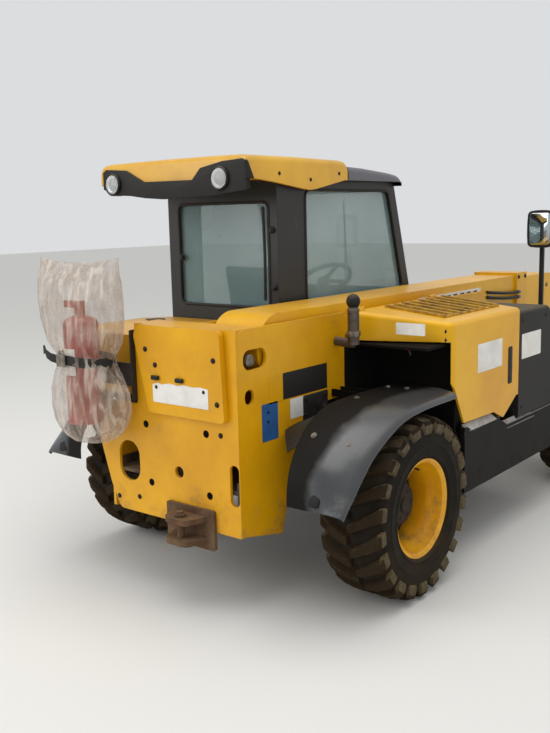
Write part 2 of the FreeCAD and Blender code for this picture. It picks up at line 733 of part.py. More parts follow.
def knuckle():
    """Steering knuckle with its kingpins, hub spindle and steering arm."""
    body = new_body("knuckle_rear_right")
    king_y = -s.kingpin_y
    inside = s.yoke_height - s.seat_gap
    pad(body, "XY", [Round(rear_axle, king_y, s.knuckle_radius)], axle_z - inside, axle_z + inside)
    pad(body, "XY", [Round(rear_axle, king_y, s.kingpin_radius)],
        axle_z - s.yoke_height - s.yoke_wall, axle_z + s.yoke_height + s.yoke_wall)
    spindle = s.yoke_height - s.run_gap - 2
    pad(body, "XZ", [Round(rear_axle, axle_z, spindle)], disc_inner_y + s.seat_gap, king_y)
    arm_end = rear_axle - s.steer_arm
    half = s.tie_end_radius
    pad(body, "XY", [[
        (rear_axle, king_y - half), (arm_end, -eye_y - half),
        (arm_end - half, -eye_y - half, half * 0.9), (arm_end - half, -eye_y + half, half * 0.9),
        (arm_end, -eye_y + half), (rear_axle, king_y + half)]],
        arm_low, arm_low + s.steer_arm_wall)
    return body


def axle(label, along):
    """Axle tube with its differential, yokes and steering cylinder."""
    body = new_body(label)
    king_y = s.kingpin_y
    yoke_in = king_y - s.yoke_half * 2 - s.yoke_wall / 4
    pad(body, "XZ", [Round(along, axle_z, s.beam_radius)], -yoke_in, yoke_in)
    pad(body, "XZ", [Round(along, axle_z, s.diff_radius)], -s.diff_half, s.diff_half)
    snout = s.diff_radius * 0.5
    pad(body, "YZ", [Round(Size(0), axle_z, snout)], along - s.diff_radius * 1.4, along)
    outer = s.yoke_height + s.yoke_wall
    for side in (1, -1):
        low_y, high_y = sorted((yoke_in * side, (king_y + s.yoke_half) * side), key=float)
        web_low, web_high = sorted(
            ((yoke_in - s.yoke_wall) * side, yoke_in * side), key=float)
        for level in (-outer, s.yoke_height):
            pad(body, "XY", [box(along - s.yoke_half, along + s.yoke_half, low_y, high_y)],
                axle_z + level, axle_z + level + s.yoke_wall)
        box_pad(body, along - s.yoke_half, along + s.yoke_half, web_low, web_high,
                axle_z - outer, axle_z + outer)
        pocket(body, "XY", [Round(along, king_y * side, s.kingpin_radius + s.pin_gap)],
               axle_z - outer - 1, axle_z + outer + 1)
        seat_low, seat_high = sorted(
            ((s.plate_y - s.plate_wall * 3) * side, s.plate_y * side), key=float)
        box_pad(body, along - s.beam_radius, along + s.beam_radius, seat_low, seat_high,
                axle_z, s.arch_z - s.seat_gap)
    back = along - s.steer_arm
    rod_z = arm_low - s.seat_gap - tie_end_half
    pad(body, "XZ", [Round(back, rod_z, s.steer_barrel_radius)],
        -s.steer_barrel_half, s.steer_barrel_half)
    pad(body, "XZ", [Round(back, rod_z, s.steer_rod_radius)], -eye_y, eye_y)
    for side in (1, -1):
        pad(body, "XY", [Round(back, eye_y * side, s.tie_end_radius)],
            rod_z - tie_end_half, rod_z + tie_end_half)
    half = s.steer_barrel_half * 0.7
    box_pad(body, back, along, -half, half, rod_z - s.steer_rod_radius, rod_z + s.steer_rod_radius)
    return body


# Chassis
frame_y = s.plate_y - s.plate_wall - s.seat_gap
cab_floor = s.rail_top + s.seat_gap
fender_seat = s.fender_top - s.fender_wall - s.seat_gap
rear_face = rear_axle - s.rear_overhang
chassis_front = front_axle + s.front_overhang
deck_z = s.arch_z + s.plate_wall * 3
lift_pin_x = rear_axle + s.lift_x


def chassis_frame():
    """Two plates arched over the axles, with decks, a belly plate and a front plate."""
    body = new_body("chassis_frame")
    back = rear_face + s.body_wall + s.seat_gap
    rise = s.arch_z - s.belly_z
    side = [
        (back, s.belly_z + rise * 0.4), (rear_axle - s.arch_half - rise * 0.3, s.belly_z + rise * 0.4),
        (rear_axle - s.arch_half, s.arch_z), (rear_axle + s.arch_half, s.arch_z),
        (rear_axle + s.arch_half + rise, s.belly_z), (front_axle - s.arch_half - rise, s.belly_z),
        (front_axle - s.arch_half, s.arch_z), (front_axle + s.arch_half * 0.8, s.arch_z),
        (chassis_front, s.arch_z), (chassis_front, s.rail_top), (back, s.rail_top)]
    for low, high in ((frame_y - s.plate_wall, frame_y), (-frame_y, s.plate_wall - frame_y)):
        pad(body, "XZ", [side], low, high)
    wall = s.plate_wall
    inner = frame_y - wall / 2
    decks = [
        # rear end, front end, underside
        (back, rear_axle + s.arch_half, deck_z),
        (rear_axle + s.arch_half + rise, front_axle - s.arch_half - rise, s.belly_z),
        (front_axle - s.arch_half, chassis_front, deck_z)]
    for low, high, level in decks:
        box_pad(body, low, high, -inner, inner, level, level + wall)
    box_pad(body, chassis_front - wall, chassis_front, -frame_y, frame_y,
            s.arch_z - rise * 0.6, s.rail_top + rise * 0.4)
    for middle in (rear_axle + s.engine_back + s.engine_length * 0.15,
                   rear_axle + s.engine_back + s.engine_length * 0.85):
        reach = s.side_y + s.hood_wall * 4
        box_pad(body, middle - wall * 2, middle + wall * 2, reach, -inner,
                s.engine_low - s.plate_wall * 3, s.engine_low - s.seat_gap)
    for middle in (rear_axle + s.cab_arch_low + wall * 4, rear_axle + s.cab_front - wall * 6):
        box_pad(body, middle - wall * 2, middle + wall * 2, -inner, inner,
                s.rail_top - wall * 4, s.rail_top)
    for side in (1, -1):
        low, high = sorted(((frame_y - wall) * side, frame_y * side), key=float)
        shelf_low, shelf_high = sorted(((frame_y - wall) * side, (s.fender_inner + wall * 4) * side),
            key=float)
        post_low, post_high = front_axle - wall * 4, front_axle + wall * 4
        box_pad(body, post_low, post_high, low, high, s.rail_top - wall, fender_seat)
        box_pad(body, post_low, post_high, shelf_low, shelf_high, fender_seat - wall, fender_seat)
    gap = s.eye_radius * 0.8
    for low in (s.boom_y - gap - wall, s.boom_y + gap):
        pad(body, "XZ", [[
            (lift_pin_x - s.eye_radius * 2, deck_z + wall / 2),
            (lift_pin_x + s.eye_radius * 2, deck_z + wall / 2),
            (lift_pin_x + s.eye_radius, s.lift_z + s.eye_radius, s.eye_radius * 0.8),
            (lift_pin_x - s.eye_radius, s.lift_z + s.eye_radius, s.eye_radius * 0.8)]],
            low, low + wall)
    pad(body, "XZ", [Round(lift_pin_x, s.lift_z, s.eye_pin)],
        s.boom_y - gap - wall * 1.5, s.boom_y + gap + wall * 1.5)
    return body


pivot_x = rear_axle + s.pivot_x
hinge_length = s.hood_pin * 6
hinge_starts = (rear_axle + s.hood_back + hinge_length * 2, rear_axle + s.hood_front - hinge_length * 3)


def rear_body():
    """Welded rear end: rear plate, side walls, top cover and the boom's pivot plates."""
    body = new_body("rear_body")
    wall = s.body_wall
    low = s.belly_z + s.tyre_radius * 0.07
    notch = s.panel_left - s.body_left
    pad(body, "YZ", [[
        (-s.plate_y, low), (s.body_low_left * 0.75, low, s.corner_round),
        (s.body_low_left * 0.87, s.arch_z - s.edge_round, s.corner_round * 1.5),
        (s.body_low_left, s.low_plate_z, s.corner_round),
        (s.body_low_left, s.body_shoulder_z, s.corner_round * 1.5),
        (s.body_left, s.body_shoulder_z, s.edge_round), (s.body_left, s.body_top, s.corner_round),
        (-s.plate_y, s.body_top)]], rear_face, rear_face + wall)
    front = rear_axle + s.side_wall_front
    pad(body, "XZ", [[
        (rear_face, low + s.run_gap), (rear_axle - s.arch_half * 1.12, low - s.wall_drop),
        (rear_axle - s.arch_half, s.arch_foot_z, s.wide_round * 2),
        (rear_axle - s.arch_neck, s.arch_neck_z, s.wide_round),
        (rear_axle - s.arch_neck, s.side_wall_low, s.edge_round),
        (front, s.side_wall_low), (front, s.body_top), (rear_face, s.body_top, s.corner_round * 1.5)]],
        -s.plate_y, wall - s.plate_y)
    pad(body, "XZ", [[
        (rear_face, low + s.run_gap), (rear_axle - s.arch_half * 1.12, low - s.wall_drop),
        (rear_axle - s.arch_half, s.arch_foot_z, s.wide_round * 2),
        (rear_axle - s.arch_neck, s.rail_top + s.left_wall_step),
        (rear_axle - s.arch_half, s.body_shoulder_z - s.left_wall_step, s.wide_round),
        (rear_face, s.body_shoulder_z - s.left_wall_step)]], s.plate_y - wall, s.plate_y)
    pad(body, "XZ", [box(rear_face, rear_face + s.cover_depth, s.body_top - wall, s.body_top)],
        wall / 2 - s.plate_y, s.body_left)
    box_pad(body, rear_face, rear_face + s.cover_depth, s.body_left - wall, s.body_left,
            s.rail_top + s.run_gap, s.body_top - wall / 2)
    pad(body, "XZ", [[
        (rear_face, s.rail_top + s.seat_gap), (pivot_x + s.tower_front, s.rail_top + s.seat_gap),
        (pivot_x + s.tower_front * 0.8, s.pivot_z - s.pivot_radius * 1.7, s.corner_round * 2),
        (pivot_x + s.tower_front * 0.28, s.body_top, s.corner_round * 1.5), (rear_face, s.body_top)]],
        s.tower_y - wall, s.tower_y)
    for low_y, high_y in ((-s.plate_y, s.boom_y - s.boom_width / 2 - s.run_gap),
                          (s.boom_y + s.boom_width / 2 + s.run_gap, s.tower_y)):
        pad(body, "XZ", [Round(pivot_x, s.pivot_z, s.pivot_radius * 2)], low_y, high_y)
    pad(body, "XZ", [Round(pivot_x, s.pivot_z, s.pivot_radius)], wall / 2 - s.plate_y, s.tower_y - wall / 2)
    rail_top = s.hood_pin_z - s.run_gap * 4
    box_pad(body, front - wall, rear_axle + s.box_front - wall * 2, -s.plate_y, wall - s.plate_y,
            rail_top - wall * 6, rail_top)
    for start in hinge_starts:
        box_pad(body, start, start + hinge_length, s.hood_pin_y, s.hood_pin_y + s.hood_pin,
                rail_top - wall, s.hood_pin_z)
        pad(body, "YZ", [Round(s.hood_pin_y, s.hood_pin_z, s.hood_pin)], start, start + hinge_length)
        pad(body, "YZ", [Round(s.hood_pin_y, s.hood_pin_z, s.hood_pin / 2)],
            start - hinge_length * 0.9, start + hinge_length)
    port = s.port_radius
    slot_round = (s.slot_inner - s.slot_outer) * 0.47
    pocket(body, "YZ", [
        box(s.port_y - port, s.port_y + port, s.port_low, s.port_high, port * 0.95),
        Round(s.eye_y, s.eye_z, s.eye_hole),
        box(s.slot_outer, s.slot_inner, s.slot_low, s.slot_high, slot_round)],
        rear_face - 1, rear_face + wall + 1)
    oval_round = (s.oval_high - s.oval_low) * 0.45
    peep_round = (s.peep_front - s.peep_back) * -0.45
    pocket(body, "XZ", [
        box(rear_axle - s.oval_back, rear_axle - s.oval_front, s.oval_low, s.oval_high, oval_round),
        box(rear_axle - s.peep_back, rear_axle - s.peep_front, s.peep_low, s.peep_high, peep_round)],
        -s.plate_y - 1, wall - s.plate_y + 1)
    return body


def rear_panel():
    """Raised service panel on the rear face."""
    body = new_body("rear_panel")
    pad(body, "YZ", [[
        (s.panel_right, s.panel_low, s.edge_round),
        (s.panel_left - s.panel_taper, s.panel_low, s.edge_round),
        (s.panel_left, s.body_top - s.panel_taper / 2, s.corner_round),
        (s.panel_left - s.panel_taper / 2, s.body_top, s.edge_round * 1.5),
        (s.panel_right + s.panel_taper * 0.2, s.body_top, s.edge_round * 1.5)]],
        rear_face - s.panel_thick, rear_face - s.seat_gap)
    return body


# Boom
boom_low = s.pivot_z - s.boom_height / 2
boom_high = s.pivot_z + s.boom_height / 2
boom_end = rear_axle + s.boom_front
eye_gap = s.eye_radius * 0.8


def boom_side(size):
    return s.boom_y - size / 2, s.boom_y + size / 2


def outer_boom():
    """Hollow outer section, round about its pivot, with a collar and wear pads in front."""
    body = new_body("outer_boom")
    wall = s.boom_wall
    low_y, high_y = boom_side(s.boom_width)
    back = pivot_x - s.boom_height / 2
    lift_eye_x = rear_axle + s.lift_eye_x
    pad(body, "XZ", [[
        (back, boom_low, s.boom_height / 2 - 1), (boom_end, boom_low), (boom_end, boom_high),
        (back, boom_high, s.boom_height / 2 - 1)]], low_y, high_y)
    grow = s.collar_wall
    box_pad(body, boom_end - s.collar_length, boom_end, low_y - grow, high_y + grow,
            boom_low - grow, boom_high + grow)
    for low in (s.boom_y - eye_gap - grow, s.boom_y + eye_gap):
        pad(body, "XZ", [[
            (lift_eye_x - s.eye_radius * 3, boom_low + wall / 2),
            (lift_eye_x - s.eye_radius, s.lift_eye_z - s.eye_radius, s.eye_radius * 0.9),
            (lift_eye_x + s.eye_radius, s.lift_eye_z - s.eye_radius, s.eye_radius * 0.9),
            (lift_eye_x + s.eye_radius * 3, boom_low + wall / 2)]], low, low + grow)
    for low, high in ((s.boom_y - eye_gap - grow * 1.7, s.boom_y - eye_gap),
                      (s.boom_y + eye_gap, s.boom_y + eye_gap + grow * 1.7)):
        pad(body, "XZ", [Round(lift_eye_x, s.lift_eye_z, s.eye_pin * 1.3)], low, high)
    inside_y = boom_side(s.boom_width - wall * 2)
    pocket(body, "YZ", [box(inside_y[0], inside_y[1], boom_low + wall, boom_high - wall)],
           pivot_x + s.pivot_radius * 2.5, boom_end + 1)
    pad_front = boom_end - s.collar_length * 0.1
    pad_depth = s.pad_gap - s.seat_gap
    half = s.boom_width * 0.3
    for low_z, high_z in ((boom_low + wall, boom_low + wall + pad_depth),
                          (boom_high - wall - pad_depth, boom_high - wall)):
        box_pad(body, pad_front - s.pad_length, pad_front, s.boom_y - half, s.boom_y + half,
                low_z, high_z)
    half = s.boom_height * 0.25
    for low, high in ((inside_y[0], inside_y[0] + pad_depth), (inside_y[1] - pad_depth, inside_y[1])):
        box_pad(body, pad_front - s.pad_length, pad_front, low, high,
                s.pivot_z - half, s.pivot_z + half)
    pocket(body, "XZ", [Round(pivot_x, s.pivot_z, s.pivot_radius + s.pin_gap)], low_y - 1, high_y + 1)
    return body


head_x = rear_axle + s.head_x
nose_front = rear_axle + s.nose_x
inner_width = s.boom_width - (s.boom_wall + s.pad_gap) * 2
inner_low = boom_low + s.boom_wall + s.pad_gap
inner_high = boom_high - s.boom_wall - s.pad_gap
cheek_wall = s.boom_wall * 1.6


def inner_boom():
    """Hollow inner section whose nose turns down between two cheeks to the carriage pin."""
    body = new_body("inner_boom")
    low_y, high_y = boom_side(inner_width)
    back = rear_axle + s.inner_back
    start = rear_axle + s.nose_start
    wall = s.boom_wall
    pad(body, "YZ", [box(low_y, high_y, inner_low, inner_high)], back, start + s.nose_lap)
    pocket(body, "YZ", [box(low_y + wall, high_y - wall, inner_low + wall, inner_high - wall)],
           back - 1, start + s.nose_lap + 1)
    deep = nose_front - s.nose_depth
    bend = s.nose_depth * 1.6
    nose = [
        (start, inner_low), (deep - s.nose_throat, inner_low - s.nose_drop, bend * 0.7),
        (deep, s.head_z + s.nose_neck, bend * 0.6),
        (head_x - s.head_radius, s.head_z - s.head_radius, s.head_radius * 0.95),
        (nose_front, s.head_z - s.head_radius, s.head_radius * 0.95), (nose_front, inner_high, bend),
        (start, inner_high)]
    pad(body, "XZ", [nose], low_y, low_y + cheek_wall)
    pad(body, "XZ", [nose], high_y - cheek_wall, high_y)
    spine = s.boom_wall * 1.3
    pad(body, "XZ", [[
        (start, inner_low), (deep - s.nose_throat, inner_low - s.nose_drop, bend * 0.7),
        (deep, s.head_z + s.nose_neck, bend * 0.6),
        (deep + spine, s.head_z + s.nose_drop), (deep + spine * 2, s.head_z + s.nose_drop),
        (deep + spine, s.head_z + s.nose_neck + spine / 2, bend * 0.5),
        (deep - s.nose_throat + spine, inner_low - s.nose_drop + spine / 3, bend * 0.6),
        (start, inner_low + spine)]], low_y + cheek_wall / 2, high_y - cheek_wall / 2)
    pad(body, "XZ", [[
        (start, inner_high - spine), (nose_front - spine, inner_high - spine, bend - spine),
        (nose_front - spine, inner_high - s.nose_guard), (nose_front, inner_high - s.nose_guard),
        (nose_front, inner_high, bend), (start, inner_high)]],
        low_y + cheek_wall / 2, high_y - cheek_wall / 2)
    tilt_pin = rear_axle + s.tilt_x
    pad(body, "XZ", [Round(tilt_pin, s.tilt_z, s.eye_pin)], low_y + wall / 2, high_y - wall / 2)
    pocket(body, "XZ", [Round(head_x, s.head_z, s.head_pin + s.pin_gap)], low_y - 1, high_y + 1)
    pad_back = back + s.boom_wall
    for level in (inner_low - s.pad_gap + s.seat_gap, inner_high):
        box_pad(body, pad_back, pad_back + s.pad_length, s.boom_y - s.boom_width * 0.3,
                s.boom_y + s.boom_width * 0.3, level, level + s.pad_gap - s.seat_gap)
    for level in (low_y - s.pad_gap + s.seat_gap, high_y):
        box_pad(body, pad_back, pad_back + s.pad_length, level, level + s.pad_gap - s.seat_gap,
                s.pivot_z - s.boom_height * 0.25, s.pivot_z + s.boom_height * 0.25)
    return body


carriage_front = rear_axle + s.carriage_x
tilt_eye_x = rear_axle + s.tilt_eye_x
shaft_x = carriage_front + s.shaft_radius * 1.8


def carriage():
    """Fork carriage: ears on the nose's pin, end plates, cross bars and the fork shaft."""
    body = new_body("carriage")
    wall = s.carriage_wall
    front = carriage_front
    low_y, high_y = boom_side(inner_width)
    ears = ((low_y - s.run_gap - wall, low_y - s.run_gap), (high_y + s.run_gap, high_y + s.run_gap + wall))
    ear = [
        (head_x - s.head_radius * 0.9, s.head_z - s.head_radius * 0.9, s.head_radius * 0.85),
        (front, s.carriage_low), (front, s.carriage_top), (front - wall * 3, s.carriage_top),
        (head_x - s.head_radius * 0.9, s.head_z + s.head_radius * 0.9, s.head_radius * 0.85)]
    for low, high in ears:
        pad(body, "XZ", [ear], low, high)
    pad(body, "XZ", [Round(head_x, s.head_z, s.head_pin)], low_y - s.run_gap - wall * 1.5,
        high_y + s.run_gap + wall * 1.5)
    tilt_gap = s.eye_radius * 0.9
    for low in (s.boom_y - tilt_gap - wall, s.boom_y + tilt_gap):
        pad(body, "XZ", [[
            (front - wall * 2, s.carriage_low + wall), (front, s.carriage_low + wall),
            (front, s.carriage_top),
            (tilt_eye_x - s.eye_radius, s.tilt_eye_z + s.eye_radius, s.eye_radius * 0.9),
            (tilt_eye_x - s.eye_radius, s.tilt_eye_z - s.eye_radius, s.eye_radius * 0.9),
            (front - wall * 2, s.tilt_eye_z - s.eye_radius * 4)]], low, low + wall)
    for low, high in ((s.boom_y - tilt_gap - wall * 1.6, s.boom_y - tilt_gap),
                      (s.boom_y + tilt_gap, s.boom_y + tilt_gap + wall * 1.6)):
        pad(body, "XZ", [Round(tilt_eye_x, s.tilt_eye_z, s.eye_pin * 1.3)], low, high)
    for low, height in ((s.carriage_low, wall * 5), (s.carriage_top - wall * 5, wall * 5)):
        box_pad(body, front - wall, front, -s.carriage_half, s.carriage_half, low, low + height)
    for side in (1, -1):
        low, high = sorted(((s.carriage_half - wall) * side, s.carriage_half * side), key=float)
        pad(body, "XZ", [[
            (front - wall, s.carriage_low), (shaft_x + s.shaft_radius * 1.4, s.carriage_low + wall * 4),
            (shaft_x + s.shaft_radius * 1.4, s.carriage_top, s.shaft_radius),
            (front - wall, s.carriage_top)]], low, high)
    pad(body, "XZ", [Round(shaft_x, s.shaft_z, s.shaft_radius)], wall / 2 - s.carriage_half,
        s.carriage_half - wall / 2)
    return body


def forks():
    """Two forks hung by their eyes on the fork shaft."""
    body = new_body("forks")
    back = carriage_front + s.seat_gap
    thick = s.fork_thick
    eye = s.shaft_radius + thick * 0.45
    tip = back + thick + s.fork_length
    for middle in (s.fork_y, -s.fork_y):
        low, high = middle - s.fork_width / 2, middle + s.fork_width / 2
        pad(body, "XZ", [[
            (back, s.fork_z, thick * 0.9), (tip, s.fork_z), (tip, s.fork_z + thick * 0.25),
            (tip - s.fork_length * 0.4, s.fork_z + thick),
            (back + thick, s.fork_z + thick, s.edge_round * 0.6),
            (back + thick, s.shaft_z), (back, s.shaft_z)]], low, high)
        pad(body, "XZ", [Round(shaft_x, s.shaft_z, eye)], low, high)
        pocket(body, "XZ", [Round(shaft_x, s.shaft_z, s.shaft_radius + s.pin_gap)], low - 1, high + 1)
    return body


def cylinder(label, foot, end, radius, rod_radius, barrel_length, half_width, neck, start):
    """Barrel and rod of a cylinder, drawn along X from its foot and then turned to its end.

    The tube and, at rest, the piston start at a distance from the foot's pin.
    """
    pin_x, pin_z = foot
    end_x, end_z = end
    run, rise = end_x - pin_x, end_z - pin_z
    length = distance(run, rise)
    barrel = new_body(f"{label}_barrel")
    pad(barrel, "YZ", [Round(Size(0), Size(0), radius)], neck, barrel_length)
    pad(barrel, "YZ", [Round(Size(0), Size(0), half_width * 0.9)], s.eye_pin, neck + s.eye_pin)
    pad(barrel, "XZ", [Round(Size(0), Size(0), s.eye_radius)], -half_width, half_width)
    pocket(barrel, "YZ", [Round(Size(0), Size(0), radius * 0.8)], neck + s.eye_radius * 0.6,
           barrel_length - radius * 0.8)
    pocket(barrel, "YZ", [Round(Size(0), Size(0), rod_radius + s.pin_gap)],
           barrel_length - radius, barrel_length + 1)
    pocket(barrel, "XZ", [Round(Size(0), Size(0), s.eye_pin + s.pin_gap)], -half_width - 1, half_width + 1)
    rod = new_body(f"{label}_rod")
    piston = radius * 0.8 - s.pin_gap
    pad(rod, "YZ", [Round(Size(0), Size(0), rod_radius)], start, length - s.eye_radius * 0.6)
    pad(rod, "YZ", [Round(Size(0), Size(0), piston)], start, start + rod_radius)
    pad(rod, "XZ", [Round(length, Size(0), s.eye_radius * 0.85)], -half_width, half_width)
    pin_half = half_width + s.pin_gap * 3
    pad(rod, "XZ", [Round(length, Size(0), s.eye_pin)], -pin_half, pin_half)
    for piece in (barrel, rod):
        piece.Placement = Placement(Vector(0, 0, 0), Rotation(Vector(0, -1, 0), 1))
        bind(piece, ".Placement.Base.x", pin_x)
        bind(piece, ".Placement.Base.y", s.boom_y)
        bind(piece, ".Placement.Base.z", pin_z)
        bind(piece, ".Placement.Rotation.Angle", slope(run, rise))
    return barrel, rod


def lift_cylinder():
    return cylinder("lift", (lift_pin_x, s.lift_z), (rear_axle + s.lift_eye_x, s.lift_eye_z),
                    s.lift_radius, s.lift_rod_radius, s.lift_barrel, s.eye_radius * 0.6,
                    s.eye_radius * 2.2, s.eye_radius * 3)


def tilt_cylinder():
    return cylinder("tilt", (rear_axle + s.tilt_x, s.tilt_z), (tilt_eye_x, s.tilt_eye_z),
                    s.tilt_radius, s.tilt_rod_radius, s.tilt_barrel, s.eye_radius * 0.75,
                    s.eye_radius * 0.8, s.eye_radius * 3.5)


# Right side
side_inner = s.side_y + s.hood_wall


def hood_slope(shift):
    """Corners of the hood's sloping top, moved down by a shift."""
    return (s.hood_inner_y, s.hood_top - shift), (s.side_y, s.hood_side_top - shift)


def hood():
    """Moulded engine hood: sloping top with a louvre opening, side and rear band."""
    body = new_body("hood")
    wall = s.hood_wall
    back_in = rear_axle + s.hood_back
    back_out = rear_axle + s.hood_back_outer
    front = rear_axle + s.hood_front
    low = s.hood_point_z - s.edge_round / 2
    pad(body, "XY", [[
        (back_in, s.hood_inner_y), (back_out, s.side_y, s.hood_round), (front, s.side_y),
        (front, s.hood_inner_y)]], low, s.hood_top)
    inner, outer = hood_slope(Size(0))
    pocket(body, "YZ", [[
        inner, outer, (s.side_y - 1, s.hood_side_top), (s.side_y - 1, s.hood_top + 1),
        (s.hood_inner_y, s.hood_top + 1)]], back_in - 1, front + 1)
    round_edges(body, s.hood_round * 0.6, lambda a, b: min(a.z, b.z) > float(s.hood_low + s.wide_round * 2)
                and not (near(a.x, front) and near(b.x, front))
                and not (near(a.y, s.hood_inner_y) and near(b.y, s.hood_inner_y)))
    document.recompute()
    solid = body.Tip
    open_faces = []
    for index, face in enumerate(solid.Shape.Faces, 1):
        middle = face.CenterOfMass
        if near(middle.z, low) or near(middle.x, front) or near(middle.y, s.hood_inner_y):
            open_faces.append(f"Face{index}")
    shell = body.newObject("PartDesign::Thickness", "shell")
    shell.Base = (solid, open_faces)
    bind(shell, "Value", wall)
    shell.Reversed = True
    shell.Join = 1
    body.Tip = shell
    document.recompute()
    pocket(body, "XZ", [[
        (back_in - 1, low - 1), (back_in - 1, s.band_low), (back_in, s.band_low),
        (rear_axle + s.cut_high, s.cut_high_z, s.corner_round), (rear_axle + s.cut_mid, s.cut_mid_z),
        (rear_axle + s.cut_low, s.cut_low_z), (rear_axle + s.hood_step, s.hood_low),
        (rear_axle + s.hood_point, s.hood_point_z, s.edge_round * 1.5),
        (rear_axle + s.hood_notch, s.hood_notch_z), (front + 1, s.hood_notch_z), (front + 1, low - 1)]],
        s.side_y - 1, side_inner + s.hood_round)
    pocket(body, "XY", [box(back_in - 1, back_out + s.hood_round * 1.5, side_inner, s.hood_inner_y + 1)],
           low - 1, s.band_low)
    opening = s.seat_gap
    pocket(body, "XY", [box(rear_axle + s.grille_back - opening, rear_axle + s.grille_front + opening,
                            s.grille_outer - opening, s.grille_inner + opening)],
           s.hood_side_top - s.wide_round, s.hood_top + 1)
    leaf_y = s.hood_pin_y - s.hood_pin * 5
    for start in hinge_starts:
        low, high = start - hinge_length - s.pin_gap, start - s.pin_gap
        box_pad(body, low, high, leaf_y, s.hood_pin_y, s.hood_top - wall * 0.7, s.hood_pin_z)
        pad(body, "YZ", [Round(s.hood_pin_y, s.hood_pin_z, s.hood_pin)], low, high)
        pocket(body, "YZ", [Round(s.hood_pin_y, s.hood_pin_z, s.hood_pin / 2 + s.pin_gap)],
               low - 1, high + 1)
    pad(body, "YZ", [[
        (s.hood_inner_y - wall, s.hood_top - wall * 0.5), (s.hood_inner_y - wall, s.hood_top - wall * 4),
        (s.hood_inner_y, s.hood_top - wall * 4), (s.hood_inner_y, s.hood_top - wall * 0.5)]],
        back_in + wall, front)
    return body


def band(inner, outer, low, high):
    """Strip that follows the hood's slope between two shifts from its top."""
    run = s.side_y - s.hood_inner_y
    drop = (s.hood_side_top - s.hood_top) / run
    corners = []
    for across, shift in ((inner, low), (outer, low), (outer, high), (inner, high)):
        corners.append((across, s.hood_top + (across - s.hood_inner_y) * drop + shift))
    return corners


def hood_grille():
    """Louvre: two rails and the slats between them, standing proud of the hood."""
    body = new_body("hood_grille")
    back = rear_axle + s.grille_back
    front = rear_axle + s.grille_front
    low, high = -s.hood_wall, s.slat_wall * 0.6
    for outer, inner in ((s.grille_outer, s.grille_outer + s.slat_wall),
                         (s.grille_inner - s.slat_wall, s.grille_inner)):
        pad(body, "YZ", [band(inner, outer, low, high * 0.5)], back, front)
    pitch = (front - back - s.slat_wall) / (s.slat_count - 1)
    for slat in range(int(float(s.slat_count))):
        start = back + pitch * slat
        pad(body, "YZ", [band(s.grille_inner, s.grille_outer, low, high)], start, start + s.slat_wall)
    return body


def engine_block():
    """The engine as one plain block."""
    body = new_body("engine_block")
    back = rear_axle + s.engine_back
    outer = s.hood_inner_y - s.hood_wall * 3
    pad(body, "YZ", [box(outer - s.engine_width, outer, s.engine_low, s.engine_top, s.edge_round * 1.5)],
        back, back + s.engine_length)
    return body


def engine_bay_liner():
    """Black inner liner that closes the engine bay above the rear wheel."""
    body = new_body("engine_bay_liner")
    wall = s.hood_wall
    outer = side_inner + s.seat_gap
    inner = -s.plate_y - s.seat_gap
    back = rear_axle + s.side_wall_front - s.liner_gap * 2
    front = rear_axle + s.engine_back - s.liner_gap * 3
    pad(body, "XZ", [[
        (back, s.liner_top), (front, s.liner_top, s.corner_round * 1.5),
        (front + s.liner_gap * 2, s.engine_low), (front + s.liner_gap * 2 - wall, s.engine_low),
        (front - wall, s.liner_top - wall, s.corner_round * 1.25), (back, s.liner_top - wall)]],
        outer + wall * 2, inner)
    return body


skirt_inner = -frame_y - s.seat_gap


def side_skirt():
    """Tank and skirt under the hood, with a ledge on top."""
    body = new_body("side_skirt")
    back = rear_axle + s.skirt_back
    slant = back + s.skirt_slant
    front = rear_axle + s.box_front - s.skirt_gap
    lap = s.skirt_top - s.run_gap
    ledge = s.box_low - s.seat_gap
    pad(body, "XY", [[
        (back, s.side_y), (slant, s.side_y + s.skirt_slant * 2.5), (slant, skirt_inner),
        (front, skirt_inner), (front, s.side_y, s.edge_round * 1.5)]], s.skirt_low, s.skirt_top)
    pad(body, "XZ", [[
        (back, lap), (front, lap), (front, ledge), (rear_axle + s.ledge_front, ledge, s.edge_round),
        (rear_axle + s.ledge_dip, s.ledge_dip_z), (rear_axle + s.ledge_rise, s.ledge_rise_z, s.edge_round),
        (rear_axle + s.ledge_back, s.ledge_back_z, s.edge_round),
        (rear_axle + s.ledge_end, s.ledge_end_z, s.edge_round), (back, s.ledge_end_z)]],
        s.side_y, side_inner + s.hood_wall)
    pad(body, "XY", [box(rear_axle + s.hood_front + s.skirt_gap, front, s.side_y + s.hood_wall,
        skirt_inner)],
        lap, ledge)
    return body


def intake_box():
    """Black housing ahead of the hood."""
    body = new_body("intake_box")
    back = rear_axle + s.hood_front + s.run_gap
    front = rear_axle + s.box_front
    pad(body, "XZ", [[
        (back, s.box_low), (front, s.box_low, s.corner_round),
        (front, s.box_top - s.box_slant_z, s.wide_round * 2),
        (front - s.box_slant, s.box_top, s.corner_round * 1.5),
        (back, s.box_top)]], s.side_y, -s.plate_y - s.seat_gap)
    round_edges(body, s.hood_round * 0.6, lambda a, b: near(a.y, s.side_y) and near(b.y, s.side_y)
                and near(a.z, s.box_top) and near(b.z, s.box_top))
    return body


